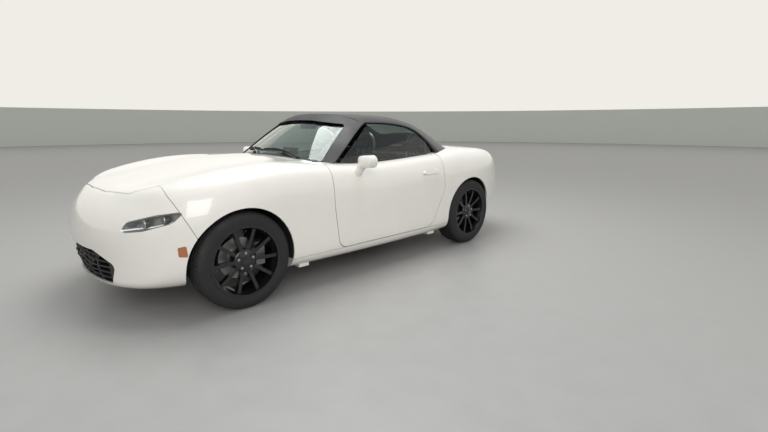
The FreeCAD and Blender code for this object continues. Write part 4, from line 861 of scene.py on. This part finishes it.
def stuffed(piece, cap):
    """Swells the pad as stuffed cloth does, and lets no point move further than the cap."""
    start = [vertex.co.copy() for vertex in piece.data.vertices]
    cloth = piece.modifiers.new("stuffing", "CLOTH")
    cloth.settings.use_pressure = True
    cloth.settings.uniform_pressure_force = PRESSURE
    cloth.settings.effector_weights.gravity = 0
    for step in range(1, SWELL_STEPS + 1):
        bpy.context.scene.frame_set(step)
    swollen = piece.evaluated_get(bpy.context.evaluated_depsgraph_get()).data
    moved = [vertex.co.copy() for vertex in swollen.vertices]
    piece.modifiers.remove(cloth)
    bpy.context.scene.frame_set(1)
    for vertex, old, new in zip(piece.data.vertices, start, moved):
        shift = new - old
        vertex.co = old + shift * min(1.0, cap / max(shift.length, 1e-9))
    return piece


def sewn(piece, seams, facing_up):
    """Smooths the pad once and pulls its outer face in along lines of (axis, place, depth)."""
    shape_up(piece, "SUBSURF", levels=1, render_levels=1)
    pulls = []
    for vertex in piece.data.vertices:
        pull = 0.0
        if vertex.normal.dot(facing_up) > 0.25:
            for axis, where, depth in seams:
                pull += depth * math.exp(-((vertex.co[axis] - where) / SEAM_WIDTH) ** 2)
        pulls.append(vertex.normal * pull)
    for vertex, pull in zip(piece.data.vertices, pulls):
        vertex.co -= pull
    return piece


def mirrored_copy(piece):
    """The same piece for the other side of the car, with its faces turned outwards again."""
    alone(piece)
    bpy.ops.object.duplicate()
    twin = bpy.context.active_object
    twin.scale.x = -1
    bpy.ops.object.transform_apply(location=True, rotation=True, scale=True)
    return edited(twin, (bpy.ops.mesh.flip_normals, {}))


seat_up, seat_ahead = Vector((0, -0.35, 0.93)), Vector((0, -0.95, 0.3))
bolsters = [(0, SEAT_X - 0.108, BOLSTER_CHANNEL), (0, SEAT_X + 0.108, BOLSTER_CHANNEL)]
squab_seams = bolsters + [(1, NOSE_Y + behind, CHANNEL) for behind in (2.150, 2.225, 2.300, 2.375)]
back_seams = bolsters + [(2, z, CHANNEL) for z in (0.42, 0.50, 0.58, 0.66, 0.74)]
squab = sewn(stuffed(pad(SQUAB_LINE, 0.392, 0.0, 0.028, 0.090, (24, 28)), 0.011), squab_seams, seat_up)
backrest = sewn(stuffed(pad(BACK_LINE, 0.392, 0.12, 0.040, 0.080, (24, 34)), 0.011), back_seams, seat_ahead)
head_pad = sewn(stuffed(pad(HEAD_LINE, 0.196, 0.06, 0.0, 0.050, (14, 10)), 0.008), [], seat_ahead)
for piece, name in ((squab, "cushion"), (backrest, "backrest"), (head_pad, "head_restraint")):
    twin = mirrored_copy(piece)
    for made, side in ((piece, "left"), (twin, "right")):
        settle(made, "seat_%s_%s" % (name, side), leather, angle=80)
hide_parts("seats")
for side, outward in SIDES:
    x = SEAT_X * outward
    base = rounded_box((0.395, 0.42, 0.052), at(x, 2.275, 0.226), 0.014, leant(-6))
    shell = rounded_box((0.33, 0.014, 0.46), at(x, 2.700, 0.600), 0.006, leant(-12))
    settle(joined([base, shell]), "seat_shell_" + side, trim_black)
    steelwork = []
    for k in (-1, 1):
        steelwork.append(rounded_box((0.028, 0.56, 0.030), at(x + k * 0.155, 2.30, 0.1785), 0.004))
        steelwork.append(rounded_box((0.016, 0.36, 0.030), at(x + k * 0.155, 2.28, 0.200), 0.003))
        steelwork.append(round_bar(0.006, 0.10, at(x + k * 0.048, 2.712, 0.872), leant(-4), 20))
    settle(joined(steelwork), "seat_rails_" + side, steel)

# Cabin shell: a soft dashboard and console, a leather-rimmed wheel, satin roll hoops, and carpet on the
# floor, the boot and the bulkheads, which are painted where the carpet ends. All of it is the frame's.
CARPET_FRONT, FLOOR_TOP, BOOT_MIDDLE = 1.09, 0.1605, 3.5
carpet = grained("charcoal_carpet", "black_plastic", (0.022, 0.022, 0.023), 0.95, 0.0016, 0.0006, 0.3,
                 Sheen_Weight=0.3)
soft_plastic = grained("soft_dash_plastic", "black_plastic", (0.028, 0.028, 0.029), 0.6, 0.0018, 0.00015,
                       0.12)
satin_metal = grained("satin_metal", "cast_metal", (0.45, 0.45, 0.46), 0.3, 0.001, 0.00002, 0.05,
                      Metallic=1.0)
dress("dashboard", soft_plastic)
dress("steering_wheel", leather)
dress("roll_hoops", satin_metal)
dress("floor_pan boot_tub", underseal, carpet)
dress("rear_bulkhead firewall", inner_paint, carpet)
second_finish("floor_pan", lambda face: face.center.y - NOSE_Y > CARPET_FRONT and face.center.z > FLOOR_TOP
              and face.normal.z > -0.3)
second_finish("rear_bulkhead", lambda face: face.normal.y < -0.5 or face.normal.z > 0.5
              or abs(face.normal.x) > 0.5)
second_finish("firewall", lambda face: face.normal.y > 0.3)
second_finish("boot_tub", lambda face: face.center.x * face.normal.x < 0 or face.normal.z > 0.5
              or (face.normal.y < -0.5) == (face.center.y - NOSE_Y > BOOT_MIDDLE))

# Instruments: three round dials in the hooded cluster, four round vents with slats, a screen that stands
# on the dashboard, and three heater knobs. Each round part has a satin metal ring pressed round it.
DIALS = ((0.294, 0.820, 0.030), (0.370, 0.828, 0.036), (0.446, 0.820, 0.030))
DIAL_BEHIND, DIAL_MARKS, FIRST_MARK, MARK_TURN, MARK_SHARE = 1.6225, 11, -130, 26, 0.86
VENT_RADIUS, SLAT_RADIUS, SLAT_PITCH = 0.036, 0.033, 0.011
dial_face = grained("dial_face", "black_plastic", (0.010, 0.010, 0.012), 0.35, 0.003, 0.00001, 0.02)
needle_red = grained("dial_needle", "black_plastic", (0.70, 0.08, 0.04), 0.4, 0.002, 0.00001, 0.02)
dial_white = grained("dial_marks", "black_plastic", (0.70, 0.72, 0.74), 0.4, 0.002, 0.00001, 0.02,
                     Emission_Strength=0.1, Emission_Color=(0.8, 0.85, 0.9, 1.0))


def block(name, finish, size, place, corner, turn=(0, 0, 0), body="body", segments=3):
    """A finished piece that is one rounded box."""
    return settle(rounded_box(size, place, corner, turn, segments), name, finish, body)


def ringed_disc(name, place, turn, radius, ring, finish, body="body"):
    """A round face inside a satin ring."""
    settle(round_bar(radius, 0.004, place, turn, 48), name, finish, body)
    settle(hoop(radius, ring, place, turn), name + "_ring", satin_metal, body)


for number, (x, z, radius) in enumerate(DIALS, 1):
    name = "dial_%d" % number
    ringed_disc(name, at(x, DIAL_BEHIND + 0.002, z), leant(-90), radius, 0.0025, dial_face)
    marks = []
    for k in range(DIAL_MARKS):
        turn = math.radians(FIRST_MARK + MARK_TURN * k)
        spot = at(x + MARK_SHARE * radius * math.sin(turn), DIAL_BEHIND + 0.0045,
                  z + MARK_SHARE * radius * math.cos(turn))
        marks.append(rounded_box((0.0011, 0.0008, 0.005), spot, 0.0002, (0, turn, 0), 1))
    settle(joined(marks), name + "_marks", dial_white)
    block(name + "_needle", needle_red, (0.0016, 0.0012, radius * 0.8),
          at(x - 0.010, DIAL_BEHIND + 0.007, z - 0.004), 0.0004, (0, math.radians(35), 0), segments=1)

for number, x in enumerate((-0.555, -0.105, 0.105, 0.555), 1):
    place, normal = spot_on("dashboard", at(x, 2.6, 0.745), FORWARD)
    turn = facing(normal)
    ringed_disc("vent_%d" % number, place + normal * 0.001, turn, VENT_RADIUS, 0.004, gloss_black)
    along_face = normal.cross(Vector((1, 0, 0))).normalized()
    slats = []
    for k in (-2, -1, 0, 1, 2):
        half = math.sqrt(SLAT_RADIUS ** 2 - (SLAT_PITCH * k) ** 2)
        spot = place + normal * 0.004 + along_face * SLAT_PITCH * k
        slats.append(rounded_box((2 * half, 0.003, 0.006), spot, 0.001, turn, 1))
    settle(joined(slats), "vent_slats_%d" % number, soft_plastic)

screen_foot = below("dashboard", 0, 1.60, 1.4)
block("console_screen_case", soft_plastic, (0.215, 0.016, 0.115), screen_foot + upward(0.050), 0.005,
      leant(-8))
block("console_screen", gloss_black, (0.200, 0.003, 0.100), screen_foot + Vector((0, 0.0085, 0.052)), 0.001,
      leant(-8), segments=1)
for number, x in enumerate((-0.066, 0, 0.066), 1):
    place, normal = spot_on("dashboard", at(x, 2.6, 0.610), FORWARD)
    turn = facing(normal)
    knob = round_bar(0.021, 0.022, place + normal * 0.010, turn, 40, 0.003)
    settle(knob, "heater_knob_%d" % number, soft_plastic)
    ring = hoop(0.0235, 0.002, place + normal * 0.001, turn, (40, 8))
    settle(ring, "heater_ring_%d" % number, satin_metal)

# Steering wheel: a leather pad with a satin ring in the middle of the frame's wheel, and two stalks on
# the column. Pad and ring turn with the wheel, and the stalks stay.
WHEEL_MIDDLE = at(0.370, 1.800, 0.735)
RAKE = math.radians(24)
TO_DRIVER = Vector((0, math.cos(RAKE), math.sin(RAKE)))
wheel_turn = facing(TO_DRIVER)
airbag = ball(0.072, WHEEL_MIDDLE - TO_DRIVER * 0.006, wheel_turn, (1, 0.92, 0.30), 64)
settle(airbag, "steering_wheel_pad", leather, "steering_wheel")
pad_ring = hoop(0.050, 0.0022, WHEEL_MIDDLE + TO_DRIVER * 0.010, wheel_turn, (64, 10))
settle(pad_ring, "steering_wheel_ring", satin_metal, "steering_wheel")
for side, outward in SIDES:
    root = WHEEL_MIDDLE - TO_DRIVER * 0.105 + Vector((0.030 * outward, 0, 0))
    stalk = tube([root, root + Vector((0.07 * outward, 0.002, 0.004)),
                  root + Vector((0.125 * outward, 0.012, 0.010))], 0.0062)
    settle(stalk, "column_stalk_" + side, trim_black)

# Console: a gear lever in its leather gaiter, a hand brake beside it, rings round the cup holders, and a
# padded leather armrest at the back. They stand on the frame's console.
lever_foot = below("dashboard", 0, 1.90)
bpy.ops.mesh.primitive_cone_add(vertices=48, radius1=0.055, radius2=0.013, depth=0.075,
                                location=lever_foot + upward(0.036))
gaiter = shape_up(started(), "BEVEL", width=0.006, segments=3, limit_method="ANGLE", angle_limit=SHARP)
settle(gaiter, "gear_gaiter", leather)
settle(round_bar(0.006, 0.11, lever_foot + upward(0.095)), "gear_rod", steel)
settle(ball(0.024, lever_foot + upward(0.158), (0, 0, 0), (1, 1, 1.15)), "gear_knob", leather)
brake_foot = below("dashboard", 0.062, 2.14)
handle = tube([brake_foot + upward(0.012), brake_foot + Vector((0, 0.10, 0.030)),
               brake_foot + Vector((0, 0.245, 0.052))], 0.014)
settle(handle, "hand_brake", leather)
for number, behind in enumerate((2.03, 2.125), 1):
    cup_ring = hoop(0.037, 0.0035, below("dashboard", -0.045, behind) + upward(0.002), segments=(48, 10))
    settle(cup_ring, "cup_ring_%d" % number, satin_metal)
block("console_armrest", leather, (0.19, 0.17, 0.05), below("dashboard", 0, 2.46) + upward(0.022), 0.018)

# Footwell: three black steel pedals hung on arms from above, the throttle's sole the longest, and two
# carpet mats that lie on the floor.
PEDALS = ((0.455, 0.058, 0.075), (0.370, 0.066, 0.075), (0.270, 0.046, 0.125))
for number, (x, width, length) in enumerate(PEDALS, 1):
    foot = at(x, 1.330, 0.290)
    sole = rounded_box((width, 0.012, length), foot, 0.004, leant(28))
    knee = foot + Vector((0, -0.030, 0.12))
    arm = tube([foot + Vector((0, -0.008, 0.01)), knee, foot + upward(0.26)], 0.008)
    settle(joined([sole, arm]), "pedal_%d" % number, trim_black)
for side, outward in SIDES:
    block("floor_mat_" + side, carpet, (0.36, 0.50, 0.008), at(0.365 * outward, 1.690, 0.1665), 0.003)

# Belts: black webbing from a guide behind the seat down to the reel, with the buckle by the tunnel.
# The strap is a strip of grid with a thread pattern on its own map.
webbing = woven("belt_webbing", "seat_trim", (0.016, 0.016, 0.017), 0.7, 500.0, 0.0002, 0.05)
STRAP_WIDTH, STRAP_THICKNESS = 0.046, 0.0014
for side, outward in SIDES:
    guide, reel = at(0.612 * outward, 2.735, 0.862), at(0.625 * outward, 2.640, 0.300)
    run = [guide, guide.lerp(reel, 0.33), guide.lerp(reel, 0.66), reel]
    bpy.ops.mesh.primitive_grid_add(x_subdivisions=1, y_subdivisions=len(run) - 1, size=1)
    strap = started()
    for vertex in strap.data.vertices:
        station = round((vertex.co.y + 0.5) * (len(run) - 1))
        vertex.co = run[station] + Vector((0, STRAP_WIDTH * vertex.co.x, 0))
    settle(thickened(strap, STRAP_THICKNESS, 0), "belt_" + side, webbing, angle=80)
    block("belt_guide_" + side, trim_black, (0.020, 0.070, 0.034), guide + upward(0.004), 0.006)
    block("belt_buckle_" + side, trim_black, (0.018, 0.034, 0.085), at(0.148 * outward, 2.500, 0.400), 0.006,
          leant(-18))

# Door cards: a panel of grained plastic clipped to the door, with a padded leather armrest, a satin
# pull and release, and a round speaker cover. They ride on the door.
PULL_LINE = ((0.006, 1.78, 0.640), (0.036, 1.80, 0.645), (0.036, 1.94, 0.655), (0.006, 1.96, 0.656))


def door_card(side, outward):
    """The card of one door; its places are given as metres inside the door's inner wall."""
    body = "door_" + side
    wall, _ = spot_on(body, at(0.50 * outward, 2.05, 0.45), -INWARD * outward)

    def off_wall(inside, behind, z):
        return at(wall.x - inside * outward, behind, z)

    def card_box(name, finish, size, place, corner):
        block("door_%s_%s" % (name, side), finish, size, off_wall(*place), corner, body=body)

    card_box("card", soft_plastic, (0.010, 0.98, 0.47), (0.003, 2.05, 0.535), 0.0045)
    card_box("armrest", leather, (0.048, 0.40, 0.052), (0.026, 2.16, 0.560), 0.018)
    settle(tube([off_wall(*point) for point in PULL_LINE], 0.008), "door_pull_" + side, satin_metal, body)
    card_box("release", satin_metal, (0.010, 0.085, 0.024), (0.010, 1.86, 0.730), 0.004)
    ringed_disc("door_speaker_" + side, off_wall(0.009, 1.72, 0.400), ALONG_X, 0.072, 0.003, trim_black, body)


for side, outward in SIDES:
    door_card(side, outward)

# Header: a plastic inner mirror with its glass, on a stalk from the screen's header, and two sun visors
# of lining cloth folded up under the top.
mirror_place = at(0, 1.792, 1.120)
block("inner_mirror_case", trim_black, (0.215, 0.022, 0.058), mirror_place, 0.010)
block("inner_mirror", mirror_silver, (0.198, 0.002, 0.044), mirror_place + Vector((0, 0.0115, 0)), 0.0008,
      segments=1)
stalk = tube([mirror_place + Vector((0, -0.006, 0.01)), mirror_place + Vector((0, -0.020, 0.035)),
              at(0, 1.750, 1.150)], 0.006)
settle(stalk, "inner_mirror_stalk", trim_black)
for side, outward in SIDES:
    visor = rounded_box((0.33, 0.115, 0.012), at(0.255 * outward, 1.945, 1.166), 0.005,
                        (math.radians(7), math.radians(3) * outward, 0))
    settle(visor, "sun_visor_" + side, lining_cloth)

# Running gear: cast alloy, black chassis steel and dull exhaust steel on the frame's own shapes, and a
# coil spring between two dishes round each damper.
SPRING_RADIUS, SPRING_WIRE, SPRING_TURNS, TURN_POINTS = 0.047, 0.0055, 6, 12
DAMPERS = {"front": ((0.568, 0.735, 0.197), (0.506, 0.735, 0.646)),
           "rear": ((0.560, 3.101, 0.232), (0.508, 3.101, 0.640))}
cast_alloy = grained("cast_alloy", "cast_metal", (0.28, 0.28, 0.285), 0.5, 0.003, 0.0003, 0.2, Metallic=0.9)
chassis_black = grained("chassis_black", "black_steel", (0.02, 0.02, 0.02), 0.45, 0.003, 0.0001, 0.2)
dull_steel = grained("dull_exhaust_steel", "exhaust_steel", (0.30, 0.285, 0.27), 0.5, 0.004, 0.0001, 0.3,
                     Metallic=1.0)
dress("engine_block drivetrain knuckle_left knuckle_right", cast_alloy)
dress("exhaust", dull_steel)
dress("front_suspension rear_suspension", chassis_black)
for side, outward in SIDES:
    for end, (foot, head) in DAMPERS.items():
        low, high = at(foot[0] * outward, *foot[1:]), at(head[0] * outward, *head[1:])
        coil_low, coil_high = low.lerp(high, 0.34), low.lerp(high, 0.93)
        axis = (coil_high - coil_low).normalized()
        away = axis.orthogonal().normalized()
        aside = axis.cross(away)
        points = []
        for k in range(SPRING_TURNS * TURN_POINTS + 1):
            turn = 2 * math.pi * k / TURN_POINTS
            points.append(coil_low.lerp(coil_high, k / (SPRING_TURNS * TURN_POINTS))
                          + (away * math.cos(turn) + aside * math.sin(turn)) * SPRING_RADIUS)
        settle(tube(points, SPRING_WIRE, sides=2), "spring_%s_%s" % (end, side), chassis_black)
        dish_turn = facing((high - low).normalized())
        for number, share in enumerate((0.33, 0.94), 1):
            dish = round_bar(0.056, 0.006, low.lerp(high, share), dish_turn, 40, 0.002)
            settle(dish, "spring_seat_%s_%s_%d" % (end, side, number), chassis_black)

# Engine bay: a ribbed plastic cover and filler cap on the block, a battery on its tray, a white coolant
# tank, an air filter box, and rubber hoses. The bay and the lids' undersides are in primed paint, except
# the front of the bay behind the mouth, which is black: the radiator's own black, and painted shade on
# the rails there, which are white on the car.
BAY_HALF = 0.462
BATTERY_X, TANK_X, AIR_BOX_X = -BAY_HALF + 0.088, BAY_HALF - 0.070, BAY_HALF - 0.112
BLOCK_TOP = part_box("engine_block")[1].z
HOSES = (("intake_hose", 0.030,
          ((BAY_HALF - 0.16, 0.70, 0.690), (0.26, 0.76, 0.735), (0.20, 0.80, 0.735), (0.15, 0.80, 0.716))),
         ("radiator_hose_upper", 0.019,
          ((-0.10, 0.60, 0.62), (-0.14, 0.50, 0.62), (-0.20, 0.42, 0.575), (-0.22, 0.385, 0.560))),
         ("radiator_hose_lower", 0.019,
          ((0.10, 0.60, 0.40), (0.16, 0.50, 0.37), (0.20, 0.42, 0.34), (0.22, 0.385, 0.330))))
tank_white = grained("tank_plastic", "black_plastic", (0.62, 0.62, 0.58), 0.35, 0.002, 0.00005, 0.05)
dress("front_structure", inner_paint, underseal)
# Faces less than 0.39 m behind the nose take the black underseal: the radiator is black, and on the rails
# there it is painted shade that keeps the mouth dark.
second_finish("front_structure", lambda face: face.center.y - NOSE_Y < 0.39)
dress("bonnet boot_lid", paint, inner_paint)
for panel in ("bonnet", "boot_lid"):
    second_finish(panel, lambda face: face.normal.z < -0.35)
cover = rounded_box((0.34, 0.40, 0.044), at(0, 0.82, BLOCK_TOP + 0.021), 0.016)
ribs = []
for x in (-0.10, -0.05, 0, 0.05, 0.10):
    ribs.append(rounded_box((0.012, 0.34, 0.010), at(x, 0.82, BLOCK_TOP + 0.044), 0.004))
settle(joined([cover] + ribs), "engine_cover", trim_black)
filler = round_bar(0.028, 0.020, at(0.120, 0.665, BLOCK_TOP + 0.048), sides=40, bevel=0.004)
settle(filler, "oil_filler_cap", gloss_black)
battery = rounded_box((0.165, 0.24, 0.17), at(BATTERY_X, 0.930, 0.640), 0.008)
lid = rounded_box((0.169, 0.244, 0.016), at(BATTERY_X, 0.930, 0.722), 0.004)
tray = rounded_box((0.176, 0.256, 0.012), at(BATTERY_X, 0.930, 0.551), 0.004)
settle(joined([battery, lid, tray]), "battery", trim_black)
for number, behind in enumerate((0.855, 1.005), 1):
    post = round_bar(0.009, 0.018, at(BATTERY_X - 0.038, behind, 0.738), bevel=0.002)
    settle(post, "battery_post_%d" % number, steel)
block("coolant_tank", tank_white, (0.135, 0.16, 0.13), at(TANK_X, 0.985, 0.660), 0.028)
settle(round_bar(0.026, 0.022, at(TANK_X, 0.985, 0.735), sides=40, bevel=0.004), "coolant_cap", gloss_black)
block("air_filter_box", trim_black, (0.22, 0.22, 0.13), at(AIR_BOX_X, 0.640, 0.640), 0.022)
for name, radius, points in HOSES:
    settle(tube([at(*point) for point in points], radius), name, rubber_seal)

# Stage: a pale grey floor that runs to a low grey-green wall under a white sky, soft lights, and the
# camera where the photographer stood, off the front left corner at chest height.
LIGHTS = (("overhead", (-0.3, 0.3, 4.8), (0, 0, 0), 3.4, 190),
          ("front_left", (5.5, -3.5, 3.0), (0, 0, 0.6), 3.0, 110))
CAMERA_PLACE = Vector((3.297, -2.435, 1.129))
CAMERA_YAW, CAMERA_PITCH = math.radians(135.94), math.radians(-11.63)
FOCAL_PIXELS, FRAME_WIDTH, SENSOR = 444.2, 768, 36.0
floor_finish = grained("pale_floor", None, (0.36, 0.355, 0.345), 0.45, 0.02, 0.00005, 0.03)
wall_finish = finish_of("grey_green_wall", None, (0.70, 0.72, 0.67), 0.8)
sky_finish = finish_of("white_surround", None, (0, 0, 0), 1.0, Emission_Color=(0.86, 0.84, 0.79, 1.0),
                       Emission_Strength=1.0)


def round_wall(radius, height):
    """An open ring of wall round the whole stage, standing on the floor."""
    bpy.ops.mesh.primitive_cylinder_add(vertices=96, radius=radius, depth=height, location=(0, 0, height / 2),
                                        end_fill_type="NOTHING")
    return started()


bpy.ops.mesh.primitive_plane_add(size=90, location=(0, 0, 0))
floor = started()
low_wall = round_wall(27, 2.0)
surround = round_wall(28, 16)
for piece, name, finish in ((floor, "floor", floor_finish), (low_wall, "low_wall", wall_finish),
                            (surround, "surround", sky_finish)):
    piece.name = name
    piece.data.materials.append(finish)

world = bpy.data.worlds.new("soft_studio")
bpy.context.scene.world = world
world.use_nodes = True
background = world.node_tree.nodes["Background"].inputs
background["Color"].default_value = (0.84, 0.87, 0.90, 1.0)
background["Strength"].default_value = 0.62
for name, place, aim, size, power in LIGHTS:
    bpy.ops.object.light_add(type="AREA", location=place)
    lamp = bpy.context.active_object
    lamp.name = name
    lamp.rotation_euler = (Vector(aim) - Vector(place)).to_track_quat("-Z", "Y").to_euler()
    lamp.data.size = size
    lamp.data.energy = power

bpy.ops.object.camera_add(location=CAMERA_PLACE)
camera = bpy.context.active_object
level = math.cos(CAMERA_PITCH)
sight = Vector((level * math.cos(CAMERA_YAW), level * math.sin(CAMERA_YAW), math.sin(CAMERA_PITCH)))
camera.rotation_euler = sight.to_track_quat("-Z", "Y").to_euler()
camera.data.sensor_width = SENSOR
camera.data.lens = FOCAL_PIXELS / FRAME_WIDTH * SENSOR
bpy.context.scene.camera = camera
bpy.context.scene.view_settings.view_transform = "Standard"
